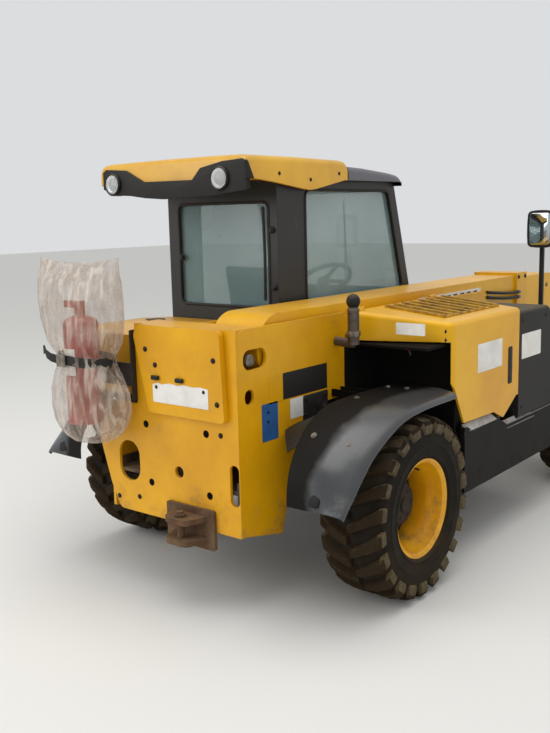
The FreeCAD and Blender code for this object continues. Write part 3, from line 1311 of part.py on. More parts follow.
def exhaust():
    """Upright exhaust stub with its clamp bracket."""
    body = new_body("exhaust_stub")
    x, y = rear_axle + s.exhaust_x, s.exhaust_y
    half = s.exhaust_radius * 0.75
    low, high = s.exhaust_low + s.clamp_lift, s.exhaust_low + s.clamp_lift + s.clamp_height
    pad(body, "XY", [Round(x, y, s.exhaust_radius)], s.exhaust_low, s.exhaust_top)
    pocket(body, "XY", [Round(x, y, s.exhaust_radius * 0.85)], s.exhaust_low + half, s.exhaust_top + 1)
    box_pad(body, x - half, x + half, y, -s.plate_y - s.seat_gap, low, high)
    pad(body, "XY", [Round(x, y, s.exhaust_radius * 1.3)], low, high)
    return body


def fender(label, along, arms=()):
    """Moulded fender over one right wheel, lower along its outer edge, with arms to the body."""
    body = new_body(label)
    wall = s.fender_wall
    tail, ahead = along - s.fender_back, along + s.fender_ahead

    def arch(bends, depth):
        outer = [(tail, s.fender_tail_z)]
        inner = [(tail + depth, s.fender_tail_z)]
        for (back, height), radius in zip(bends, (s.corner_round * 1.5, s.wide_round * 1.5,
            s.wide_round * 2)):
            outer.append((along - back, height, radius))
            inner.append((along - back + depth * 0.7, height - depth * 0.7, radius))
        top = bends[-1][1]
        return outer + [(ahead, top), (ahead, top - depth * 0.7)] + list(reversed(inner))
    inside = ((s.fender_knee, s.fender_knee_z), (s.fender_bend, s.fender_bend_z),
        (s.fender_flat, s.fender_top))
    outside = ((s.fender_foot, s.fender_foot_z), (s.fender_slope, s.fender_slope_z),
               (s.fender_crest, s.fender_crest_z))
    sheet_edges = [outline(body, "XZ", [arch(inside, wall)], -s.fender_inner),
                   outline(body, "XZ", [arch(outside, wall)], -s.fender_y)]
    skin = body.newObject("PartDesign::AdditiveLoft", "skin")
    skin.Profile = sheet_edges[0]
    skin.Sections = sheet_edges[1:]
    skin.Ruled = True
    pad(body, "XZ", [arch(outside, s.fender_lip)], -s.fender_y, wall - s.fender_y)
    for start, low in arms:
        box_pad(body, along + start, along + start + s.arm_width, -s.fender_inner - wall,
                -s.plate_y - s.seat_gap, low, low + s.arm_wall)
    return body


# Cab
cab_back = rear_axle + s.cab_back
cab_front = rear_axle + s.cab_front
cab_belt_front = rear_axle + s.cab_front_belt
cab_brow = rear_axle + s.cab_brow
door_back = rear_axle + s.door_back


def front_at(height):
    """Outer front face of the cab at a height above the belt."""
    rise = (height - s.cab_belt) / (s.cab_head - s.cab_belt)
    return cab_belt_front + (cab_brow - cab_belt_front) * rise


def cab_profile(inset):
    """Side view of the cab, drawn inwards by an inset."""
    shelf = s.fender_top + s.seat_gap
    return [
        (cab_back + inset, shelf + inset), (rear_axle + s.cab_arch_top + inset, shelf + inset),
        (rear_axle + s.cab_arch_low + inset, s.cab_arch_z + inset),
        (rear_axle + s.cab_arch_low + inset, cab_floor + inset), (cab_front - inset, cab_floor + inset),
        (cab_front - inset, s.cab_nose_z), (cab_belt_front - inset, s.cab_belt),
        (front_at(s.cab_head - inset) - inset, s.cab_head - inset),
        (cab_back + inset, s.cab_head - inset)]


def side_opening(back, front_gap, low, high, radius, heel=False):
    """Opening in a cab side whose front edge follows the windscreen post.

    With a heel its lower rear corner is slanted, to stay clear of the wheel.
    """
    corners = [(back, low, radius)]
    if heel:
        corners = [(back, low + s.door_heel_z, radius), (back + s.door_heel_x, low, radius)]
    if float(low) < float(s.cab_belt):
        corners.append((cab_belt_front - front_gap, low, radius))
        corners.append((cab_belt_front - front_gap, s.cab_belt))
    else:
        corners.append((front_at(low) - front_gap, low, radius))
    corners.append((front_at(high) - front_gap, high, radius))
    corners.append((back, high, radius))
    return corners


window_low = s.cab_belt + s.post * 0.4
window_high = s.cab_head - s.cab_wall - s.post * 0.1
post_gap = s.post + s.cab_wall * 0.3
right_post = cab_back + s.post * 3.7
rear_low = s.cab_belt + s.post * 0.25
rear_high = s.cab_head - s.post * 1.7
rear_right = s.cab_right + s.cab_wall + s.post * 0.2
rear_left = s.cab_corner_y - s.post * 1.2
screen_right = s.cab_right + s.cab_wall + s.post * 0.3
screen_left = s.cab_left - s.cab_wall - s.post * 0.3
door_pin_x = door_back + s.door_gap + s.door_pin
hinge_levels = (s.door_low + s.door_heel_z + s.post, window_high - s.post * 2)
door_pin_y = s.cab_left + s.door_pin * 0.7


def windows(gap):
    """The cab's fixed windows, drawn inwards by a gap: right side, rear and windscreen."""
    right = side_opening(right_post + gap, post_gap + gap, window_low + gap, window_high - gap,
                         s.post * 0.5)
    rear = box(rear_right + gap, rear_left - gap, rear_low + gap, rear_high - gap, s.post * 0.6)
    screen = box(screen_right + gap, screen_left - gap, window_low + gap, window_high - gap)
    return right, rear, screen


def cab_frame():
    """Hollow cab with posts, floor and head, its windows and door opening cut."""
    body = new_body("cab_frame")
    wall = s.cab_wall
    pad(body, "XZ", [cab_profile(Size(0))], s.cab_right, s.cab_left)
    pocket(body, "XZ", [cab_profile(wall)], s.cab_right + wall, s.cab_left - wall)
    pocket(body, "XY", [[
        (cab_back - 1, s.cab_corner_y), (cab_back - 1, s.cab_left + 1),
        (cab_back + s.cab_corner, s.cab_left + 1), (cab_back + s.cab_corner, s.cab_left)]],
        cab_floor - 1, s.cab_head + 1)
    pad(body, "XY", [[
        (cab_back, s.cab_corner_y), (cab_back + s.cab_corner, s.cab_left),
        (cab_back + s.cab_corner + wall * 0.5, s.cab_left - wall),
        (cab_back + wall, s.cab_corner_y - wall * 0.5)]],
        s.fender_top + s.seat_gap, s.cab_head)
    right, rear, screen = windows(Size(0))
    pocket(body, "XZ", [right], s.cab_right - 1, s.cab_right + wall + 1)
    pocket(body, "YZ", [rear], cab_back - 1, cab_back + wall + 1)
    pocket(body, "YZ", [screen], cab_brow - wall * 2, cab_front + 1)
    pocket(body, "YZ", [box(screen_right, screen_left, s.cab_nose_z + s.post, s.cab_belt - s.post)],
           cab_belt_front - wall * 2, cab_front + 1)
    pocket(body, "XZ", [side_opening(
        door_back, s.post + wall, s.door_low, window_high, s.post * 0.4, True)],
           s.cab_left - wall - 1, s.cab_left + 1)
    for level in hinge_levels:
        low = level - s.post * 0.5
        inside, outside = door_pin_y - s.door_pin / 2, door_pin_y + s.door_pin / 2
        pad(body, "XY", [[
            (door_back - s.post * 0.6, s.cab_left - 1), (door_back, s.cab_left - 1),
            (door_back, inside), (door_pin_x, inside), (door_pin_x, outside),
            (door_back - s.post * 0.6, outside)]], low, level - s.pin_gap)
        pad(body, "XY", [Round(door_pin_x, door_pin_y, s.door_pin / 2)], low, level + s.post * 0.9)
    return body


def cab_glass():
    """Right window, rear window and the two front panes, each inside its opening."""
    body = new_body("cab_glass")
    gap = s.seat_gap
    right, rear, screen = windows(gap)
    middle = s.cab_wall * 0.4
    pad(body, "XZ", [right], s.cab_right + middle, s.cab_right + middle + s.glass_wall)
    pad(body, "YZ", [rear], cab_back + middle, cab_back + middle + s.glass_wall)
    panes = ((window_low + gap, window_high - gap),
        (s.cab_nose_z + s.post + gap, s.cab_belt - s.post - gap))
    for low, high in panes:
        if float(low) > float(s.cab_belt):
            foot, head = front_at(low), front_at(high)
        else:
            slant = (cab_front - cab_belt_front) / (s.cab_belt - s.cab_nose_z)
            foot = cab_front - (low - s.cab_nose_z) * slant
            head = cab_front - (high - s.cab_nose_z) * slant
        pad(body, "XZ", [[
            (foot - middle - s.glass_wall, low), (foot - middle, low), (head - middle, high),
            (head - middle - s.glass_wall, high)]], screen_right + gap, screen_left - gap)
    return body


def door_outline(inset):
    gap = s.door_gap + inset
    return side_opening(door_back + gap, s.post + s.cab_wall + gap, s.door_low + gap, window_high - gap,
                        s.post * 0.4, True)


def door_frame():
    """Left door: frame with a window, a lower panel and its hinge knuckles."""
    body = new_body("door_frame")
    wall = s.cab_wall
    pad(body, "XZ", [door_outline(Size(0))], s.cab_left - wall, s.cab_left)
    inset = s.post * 0.8
    pocket(body, "XZ", [side_opening(door_back + inset, s.post + wall + inset, s.cab_nose_z + s.post * 2,
                                     window_high - inset, s.post * 0.5)],
           s.cab_left - wall - 1, s.cab_left + 1)
    pocket(body, "XZ", [box(door_back + s.door_heel_x + inset, cab_belt_front - s.post - wall - inset,
                            s.door_low + inset, s.cab_nose_z + s.post, s.post * 0.4)],
           s.cab_left - wall - 1, s.cab_left - wall * 0.4)
    for level in hinge_levels:
        pad(body, "XY", [Round(door_pin_x, door_pin_y, s.door_pin)], level, level + s.post)
        pocket(body, "XY", [Round(door_pin_x, door_pin_y, s.door_pin / 2 + s.pin_gap)],
               level - 1, level + s.post + 1)
    box_pad(body, cab_belt_front - s.post * 3.6, cab_belt_front - s.post * 2.4, s.cab_left - 1,
            s.cab_left + s.door_handle, s.cab_nose_z + s.post * 1.4, s.cab_nose_z + s.post * 1.9)
    return body


def door_glass():
    body = new_body("door_glass")
    gap = s.post * 0.8 + s.seat_gap
    middle = s.cab_left - s.cab_wall * 0.6
    pad(body, "XZ", [side_opening(door_back + gap, s.post + s.cab_wall + gap,
                                  s.cab_nose_z + s.post * 2 + s.seat_gap, window_high - gap, s.post * 0.5)],
        middle, middle + s.glass_wall)
    return body


roof_back = rear_axle + s.roof_back
roof_front = rear_axle + s.roof_front
visor_front = roof_back + s.post * 0.9
visor_back = roof_back - s.visor_lap


def humps(gap):
    """Rear view of the visor: a low strip that rises round each lamp."""
    low = s.lamp_z - s.lamp_radius * 1.2
    dip = s.lamp_z - s.lamp_radius * 0.35
    rise = s.lamp_z + s.lamp_radius * 1.05
    wide = s.lamp_radius * 1.35
    right, left = s.lamp_right, s.lamp_left
    return [
        (s.roof_right + s.edge_round - gap, low - gap), (left + wide + gap, low - gap),
        (left + wide + gap, rise - s.run_gap / 2 + gap),
        (left - wide * 0.6 - gap, rise + gap, s.edge_round),
        (left - wide * 1.4 - gap, dip + gap, s.edge_round * 1.5),
        (right + wide * 1.5 + gap, dip + gap, s.edge_round * 1.5),
        (right + wide * 0.9 + gap, rise + gap, s.edge_round),
        (right - wide * 0.7 - gap, rise + gap, s.edge_round),
        (s.roof_right + s.edge_round - gap, dip + gap)]


def cab_roof():
    """Moulded roof with a rear overhang cut back round the lamps."""
    body = new_body("cab_roof")
    low = s.cab_head + s.seat_gap
    pad(body, "XZ", [[
        (roof_back, low), (roof_front, low), (roof_front, low + s.edge_round * 1.25, s.edge_round * 0.75),
        (roof_front - s.wide_round, s.roof_top - s.roof_fall, s.corner_round * 2),
        (roof_back + s.roof_crest, s.roof_top, s.wide_round * 4),
        (roof_back, s.roof_top - s.roof_tail, s.edge_round * 1.25)]], s.roof_right, s.roof_left)
    pocket(body, "YZ", [humps(s.seat_gap)], roof_back - 1, visor_front + s.seat_gap)
    rim = s.valance_drop * 0.1
    for low_y, high_y in ((s.roof_right, s.cab_right - s.run_gap * 4),
                          (s.cab_left + s.run_gap * 2, s.roof_left)):
        pad(body, "XZ", [[
            (visor_front + 2, s.cab_head - rim * 2),
            (roof_back + s.valance_low, s.cab_head - s.valance_drop, s.corner_round * 1.5),
            (roof_front - s.valance_front, s.cab_head - rim),
            (roof_front - s.valance_front, s.cab_head + rim),
            (visor_front + 2, s.cab_head + rim)]], low_y, high_y)
    return body


def roof_visor():
    """Black rear visor under the overhang, which holds the lamps."""
    body = new_body("roof_visor")
    pad(body, "YZ", [humps(Size(0))], visor_back, visor_front)
    for lamp in (s.lamp_right, s.lamp_left):
        pocket(body, "YZ", [Round(lamp, s.lamp_z, s.lamp_radius + s.seat_gap)],
               visor_back - 1, visor_back + s.lamp_depth)
    return body


def lamps():
    """Two lamps in the roof's visor and two on the front of the machine."""
    body = new_body("lamps")
    for lamp in (s.lamp_right, s.lamp_left):
        pad(body, "YZ", [Round(lamp, s.lamp_z, s.lamp_radius)],
            visor_back - s.lamp_radius * 0.15, visor_back + s.lamp_depth - s.seat_gap)
    for across in (-frame_y + s.lamp_radius * 1.5, frame_y - s.lamp_radius * 1.5):
        pad(body, "YZ", [Round(across, s.rail_top, s.lamp_radius)],
            chassis_front + s.seat_gap, chassis_front + s.lamp_depth)
    return body


def seat_base():
    body = new_body("seat_base")
    back = rear_axle + s.seat_x
    half = s.seat_width * 0.4
    floor = cab_floor + s.cab_wall + s.seat_gap
    pad(body, "XZ", [[
        (back, floor), (back + s.seat_length, floor),
        (back + s.seat_length + s.edge_round, floor + s.seat_lift),
        (back - s.edge_round, floor + s.seat_lift)]],
        s.seat_y - half, s.seat_y + half)
    return body


def seat_cushions():
    """Seat and back cushions as closed rounded solids."""
    body = new_body("seat_cushions")
    back = rear_axle + s.seat_x
    half = s.seat_width / 2
    low = cab_floor + s.cab_wall + s.seat_lift + s.seat_gap * 2
    thick, lean = s.cushion_wall, s.backrest_lean
    front, high = back + s.seat_depth, low + s.backrest
    pad(body, "XZ", [[
        (back - s.edge_round, low, s.edge_round), (front, low, s.edge_round * 1.5),
        (front, low + thick, s.corner_round), (back - s.edge_round, low + thick * 0.91, s.edge_round)]],
        s.seat_y - half, s.seat_y + half)
    pad(body, "XZ", [[
        (back - lean, low + thick * 0.92), (back + lean, low + thick * 0.92),
        (back - lean * 0.2, high, s.corner_round), (back - lean * 2, high, s.corner_round)]],
        s.seat_y - half, s.seat_y + half)
    return body


def dashboard():
    """Console ahead of the seat, with the steering column."""
    body = new_body("dashboard")
    floor = cab_floor + s.cab_wall + s.seat_gap
    x = rear_axle + s.wheel_x
    foot, back = x + s.dash_gap, x + s.column_half * 2
    top, half = s.cab_belt - s.dash_drop, s.column_half
    pad(body, "XZ", [[
        (foot, floor), (foot + s.dash_depth, floor), (foot + s.dash_depth / 2, top, s.edge_round * 1.5),
        (back + half * 0.4, top, s.edge_round), (back, top - half * 2, s.edge_round),
        (foot - half * 0.4, top - s.dash_gap, s.edge_round * 1.5)]],
        s.seat_y - s.dash_half, s.seat_y + s.dash_half)
    pad(body, "XZ", [[
        (back + half * 0.4, top - half), (back + half * 2.4, top - half),
        (x + half * 1.04, s.wheel_z + half * 0.62), (x - half * 0.56, s.wheel_z - half * 0.3)]],
        s.seat_y - half, s.seat_y + half)
    return body


def steering_wheel():
    """Ring and spokes, lying back towards the seat."""
    body = new_body("steering_wheel")
    ring = s.wheel_ring
    grip = s.wheel_grip
    spoke = grip * 1.1
    turned(body, "XZ", [
        (ring - grip, -grip * 0.5), (ring - grip * 0.5, -grip), (ring + grip * 0.5, -grip),
        (ring + grip, -grip * 0.5), (ring + grip, grip * 0.5), (ring + grip * 0.5, grip),
        (ring - grip * 0.5, grip), (ring - grip, grip * 0.5)], "V_Axis")
    pad(body, "XY", [Round(Size(0), Size(0), grip * 3)], grip * -1.5, grip * 0.6)
    pad(body, "XY", [box(-ring, ring, -spoke, spoke)], grip * -0.75, grip * -0.15)
    pad(body, "XY", [box(-spoke, spoke, -ring, Size(0))], grip * -0.75, grip * -0.15)
    body.Placement = Placement(Vector(0, 0, 0), Rotation(Vector(0, -1, 0), float(s.wheel_tilt)))
    bind(body, ".Placement.Base.x", rear_axle + s.wheel_x)
    bind(body, ".Placement.Base.y", s.seat_y)
    bind(body, ".Placement.Base.z", s.wheel_z + grip * 1.85)
    return body


def mirrors():
    """Right mirror on a stem from the intake box and left mirror on the door post."""
    body = new_body("mirrors")
    half = s.mirror_width / 2
    x = rear_axle + s.box_front
    y = s.side_y + s.mirror_width
    stem = s.mirror_stem
    foot = s.box_top - s.mirror_foot
    head = x + s.mirror_reach
    top, knee = s.mirror_top - stem * 1.8, s.mirror_reach * 0.82
    pad(body, "XZ", [[
        (x + s.seat_gap, foot), (x + knee, foot), (head, foot + stem * 2.7), (head, top),
        (head - stem, top), (head - stem, foot + stem * 3), (x + knee - stem / 4, foot + stem),
        (x + s.seat_gap, foot + stem)]], y - stem / 2, y + stem / 2)
    low = s.mirror_top - s.mirror_head
    pad(body, "YZ", [box(y - half, y + half, low, s.mirror_top, s.edge_round * 1.5)],
        head - stem * 2.4, head - stem / 2)
    level = s.mirror_top - s.mirror_drop
    post = front_at(level) - stem * 1.4
    y = s.cab_left
    end = post + s.mirror_reach
    pad(body, "XY", [[
        (post - stem, y + s.seat_gap), (post, y + s.seat_gap), (end, y + stem / 2), (end, y + stem * 1.5),
        (post - stem, y + stem)]], level, level + stem)
    pad(body, "YZ", [box(y + stem - half, y + stem + half, low, s.mirror_top, s.edge_round * 1.5)],
        end - stem / 2, end + stem)
    return body


def tow_hitch():
    """Pin hitch: two jaws on a back plate, with a drop pin."""
    body = new_body("tow_hitch")
    half = s.hitch_width / 2
    face = rear_face - s.seat_gap
    jaw = s.hitch_jaw * 0.35
    back = face - s.body_wall
    pin_x = face - s.hitch_pin_x
    pad(body, "YZ", [box(s.hitch_y - half, s.hitch_y + half, s.hitch_z - s.hitch_plate,
                         s.hitch_z + s.hitch_plate, s.edge_round * 0.6)], back, face)
    for low in (s.hitch_z - s.hitch_jaw / 2 - jaw, s.hitch_z + s.hitch_jaw / 2):
        pad(body, "XY", [[
            (face - s.body_wall / 2, s.hitch_y - half * 0.7),
            (face - s.body_wall / 2, s.hitch_y + half * 0.7),
            (face - s.hitch_reach, s.hitch_y + half * 0.45, s.corner_round),
            (face - s.hitch_reach, s.hitch_y - half * 0.45, s.corner_round)]], low, low + jaw)
    pad(body, "XY", [Round(pin_x, s.hitch_y, s.hitch_pin)],
        s.hitch_z - s.hitch_jaw / 2 - jaw * 1.6, s.hitch_z + s.hitch_jaw / 2 + jaw * 2)
    pad(body, "XY", [Round(pin_x, s.hitch_y, s.hitch_pin * 1.6)],
        s.hitch_z + s.hitch_jaw / 2 + jaw - 1, s.hitch_z + s.hitch_jaw / 2 + jaw * 1.6)
    return body


bag_waist_half = s.bottle_radius + s.seat_gap * 4 + s.bag_wall
bottle_x = rear_face - s.bracket_reach - s.seat_gap - bag_waist_half


def extinguisher_bracket():
    """Upright plate on the rear body's left edge with a cradle plate behind the bottle."""
    body = new_body("extinguisher_bracket")
    left = s.body_left + s.seat_gap
    wall = s.plate_wall / 2
    pad(body, "XZ", [box(rear_face - s.bracket_reach, rear_face + s.cover_depth * 0.4,
                         s.bottle_low + wall * 14, s.body_top - wall * 4, wall)], left, left + wall)
    box_pad(body, rear_face - s.bracket_reach, rear_face - s.bracket_reach + wall, left,
            s.bottle_y + s.bottle_radius, s.bag_waist - wall * 14, s.bag_waist)
    return body


def extinguisher():
    """Bottle with its shoulder, neck and lever."""
    body = new_body("extinguisher")
    r = s.bottle_radius
    height = s.bottle_top - s.bottle_low
    turned(body, "XZ", [
        (Size(0), Size(0)), (r, Size(0), r * 0.15), (r, height, r * 0.5), (r * 0.3, height + r * 0.2),
        (r * 0.3, height + r), (Size(0), height + r)], "V_Axis")
    pad(body, "YZ", [box(-r * 0.25, r * 1.2, height + r * 0.6, height + r)], -r * 0.15, r * 0.15)
    bind(body, ".Placement.Base.x", bottle_x)
    bind(body, ".Placement.Base.y", s.bottle_y)
    bind(body, ".Placement.Base.z", s.bottle_low)
    return body


def extinguisher_bag():
    """Loose bag over the extinguisher, drawn in by its strap and open at its top."""
    body = new_body("extinguisher_bag")
    wide, deep = s.bag_half, s.bag_depth
    sections = [
        # height, half width, half depth
        (s.bag_low, wide * 0.64, bag_waist_half * 0.95), (s.bag_swell, wide * 0.9, bag_waist_half),
        (s.bag_waist, wide * 0.72, bag_waist_half), (s.bag_belly, wide, deep),
        (s.bag_neck, wide * 0.95, deep * 0.95), (s.bag_top, wide * 0.8, deep * 0.8)]
    loops = []
    for shrink in (Size(0), s.bag_wall):
        sketches = []
        for height, half, depth in sections:
            level = height if sketches else height + shrink
            sketches.append(outline(body, "XY", [box(
                bottle_x - depth + shrink, bottle_x + depth - shrink, s.bottle_y - half + shrink,
                s.bottle_y + half - shrink, (depth - s.bag_wall * 2) * 0.6)], level))
        loops.append(sketches)
    solid = body.newObject("PartDesign::AdditiveLoft", "bag")
    hollow = body.newObject("PartDesign::SubtractiveLoft", "hollow")
    for loft, sketches in zip((solid, hollow), loops):
        loft.Profile = sketches[0]
        loft.Sections = sketches[1:]
        loft.Ruled = True
    return body


def hydraulic_tank():
    """Moulded tank behind the cab over the left rear wheel."""
    body = new_body("hydraulic_tank")
    back = rear_face + s.tank_gap
    left = s.cab_left - s.tank_inset
    front = cab_back - s.run_gap * 2
    pad(body, "XY", [[
        (back, s.body_left + s.seat_gap), (front, s.body_left + s.seat_gap),
        (front, s.cab_corner_y, s.corner_round * 1.5), (front - s.tank_inset * 2, left, s.corner_round * 2),
        (back, left, s.wide_round * 0.9)]],
        s.fender_top + s.seat_gap, s.cab_belt - s.tank_inset)
    return body


def left_step():
    """Entry step below the door between the left wheels."""
    body = new_body("left_step")
    back = rear_axle + s.step_back
    front = rear_axle + s.step_front
    inner = frame_y + s.seat_gap
    lift, out = s.step_lift, s.cab_left + s.step_lift / 2
    low = s.skirt_low + lift
    riser = s.cab_left - s.step_depth
    pad(body, "YZ", [[
        (inner, low), (out, low, s.edge_round * 1.25), (out, low + s.step_wall, s.edge_round * 0.75),
        (riser, low + s.step_wall + lift), (riser - lift, cab_floor - s.seat_gap),
        (inner, cab_floor - s.seat_gap)]], back, front)
    return body


def fender_pair(name, along, right_arms=(), left_arms=()):
    """Right and left fender of an axle, which share one node."""
    right = fender(f"{name}_right", along, right_arms)
    source = right if right_arms == left_arms else fender(f"{name}_left_drawn", along, left_arms)
    return joined(f"{name}s", [right, mirrored(f"{name}_left", source)])


def wheel_set(build, name):
    """The same piece at the four corners, as four nodes."""
    rear_right = build()
    rear_left = mirrored(f"{name}_rear_left", rear_right)
    front_right = placed_copy(f"{name}_front_right", rear_right, s.wheelbase)
    front_left = placed_copy(f"{name}_front_left", rear_left, s.wheelbase)
    return [rear_right, rear_left, front_right, front_left]


sub_parts = [
    chassis_frame(), rear_body(), rear_panel(), axle("rear_axle", rear_axle),
    axle("front_axle", front_axle), engine_block(), engine_bay_liner(), side_skirt(), intake_box(),
    exhaust(), hydraulic_tank(), left_step(), tow_hitch(), extinguisher_bracket(), extinguisher(),
    extinguisher_bag(), cab_frame(), cab_glass(), cab_roof(), roof_visor(), lamps(), seat_base(),
    seat_cushions(), dashboard(), steering_wheel(), mirrors(), door_frame(), door_glass(), hood(),
    hood_grille(), outer_boom(), inner_boom(), carriage(), forks()]
rear_arm = (-s.arm_back, s.arm_z)
front_arm = (s.arm_front - s.arm_width, s.fender_top - s.arm_wall)
sub_parts.append(fender_pair("rear_fender", rear_axle, (rear_arm, front_arm), (rear_arm,)))
sub_parts.append(fender_pair("front_fender", front_axle))
sub_parts.extend(lift_cylinder())
sub_parts.extend(tilt_cylinder())
for build, name in ((tyre, "tyre"), (rim, "rim"), (knuckle, "knuckle")):
    sub_parts.extend(wheel_set(build, name))

document.recompute()
for thing in document.Objects:
    if "Invalid" in thing.State or "Error" in thing.State:
        raise ValueError(f"{thing.Label} was not built")

os.makedirs("parts", exist_ok=True)
for sub_part in sub_parts:
    shape = sub_part.Shape
    if shape.isNull() or not shape.isValid() or not shape.Solids:
        raise ValueError(f"{sub_part.Label} has no sound solid")
    shape.exportStep(f"parts/{sub_part.Label}.step")
    print(f"{sub_part.Label}: {len(shape.Solids)} solids, {shape.Volume / 1e6:.2f} litres")
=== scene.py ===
import math

import bmesh
import bpy
from mathutils import Matrix, Vector, noise


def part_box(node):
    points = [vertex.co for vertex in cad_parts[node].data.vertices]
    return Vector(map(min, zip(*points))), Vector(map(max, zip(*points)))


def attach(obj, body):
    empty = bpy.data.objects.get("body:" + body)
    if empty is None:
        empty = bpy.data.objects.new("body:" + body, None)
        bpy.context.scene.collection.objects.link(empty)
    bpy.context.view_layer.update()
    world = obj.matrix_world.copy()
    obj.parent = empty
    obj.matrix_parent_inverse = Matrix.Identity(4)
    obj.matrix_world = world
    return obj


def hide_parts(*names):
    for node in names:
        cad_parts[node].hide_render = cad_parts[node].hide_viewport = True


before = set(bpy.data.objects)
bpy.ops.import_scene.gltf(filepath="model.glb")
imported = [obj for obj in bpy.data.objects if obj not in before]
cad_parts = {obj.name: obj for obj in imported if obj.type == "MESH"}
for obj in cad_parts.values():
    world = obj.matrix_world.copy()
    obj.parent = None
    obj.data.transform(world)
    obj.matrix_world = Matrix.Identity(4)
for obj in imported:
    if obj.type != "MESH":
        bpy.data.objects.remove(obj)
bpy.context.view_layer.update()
scene = bpy.context.scene

# Places are given in metres, by their distance ahead of the rear axle.
tyre_low, tyre_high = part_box("tyre_rear_right")
AXLE = (tyre_low.x + tyre_high.x) / 2
WHEEL_Y = -(tyre_low.y + tyre_high.y) / 2
WHEEL_Z = (tyre_low.z + tyre_high.z) / 2
FRONT = (sum(c.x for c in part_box("tyre_front_right"))) / 2 - AXLE

# Each wheel's name, distance ahead of the rear axle and side: 1 on the left, -1 on the right.
CORNERS = (("rear_right", 0.0, -1), ("rear_left", 0.0, 1), ("front_right", FRONT, -1), ("front_left", FRONT, 1))


def at(x, y, z):
    """A point, by its distance ahead of the rear axle."""
    return Vector((AXLE + x, y, z))


def behind(depth):
    """A plane that faces backwards."""
    return lambda a, b, out=0.0: at(depth - out, a, b)


def ahead(depth):
    """A plane that faces forwards."""
    return lambda a, b, out=0.0: at(depth + out, a, b)


def right_of(depth):
    """A plane that faces right."""
    return lambda a, b, out=0.0: at(a, depth - out, b)


def left_of(depth):
    """A plane that faces left."""
    return lambda a, b, out=0.0: at(a, depth + out, b)


def above(depth):
    """A plane that faces up."""
    return lambda a, b, out=0.0: at(a, b, depth + out)


# Materials


def colour(code):
    """An sRGB hex colour as linear light."""
    parts = [int(code[i:i + 2], 16) / 255 for i in (1, 3, 5)]
    return [c / 12.92 if c <= 0.04045 else ((c + 0.055) / 1.055) ** 2.4 for c in parts] + [1.0]


def add(tree, kind, inputs=None, **settings):
    """Adds a node with its settings, and fills or links its inputs. A node given as input is its first output."""
    node = tree.nodes.new(kind)
    for name, value in settings.items():
        setattr(node, name, value)
    for key, value in (inputs or {}).items():
        if isinstance(value, bpy.types.Node):
            value = value.outputs[0]
        if isinstance(value, bpy.types.NodeSocket):
            tree.links.new(value, node.inputs[key])
        else:
            node.inputs[key].default_value = value
    return node


def new_material(name):
    """A material with its tree and its shader."""
    material = bpy.data.materials.new(name)
    material.use_nodes = True
    return material, material.node_tree, material.node_tree.nodes["Principled BSDF"]


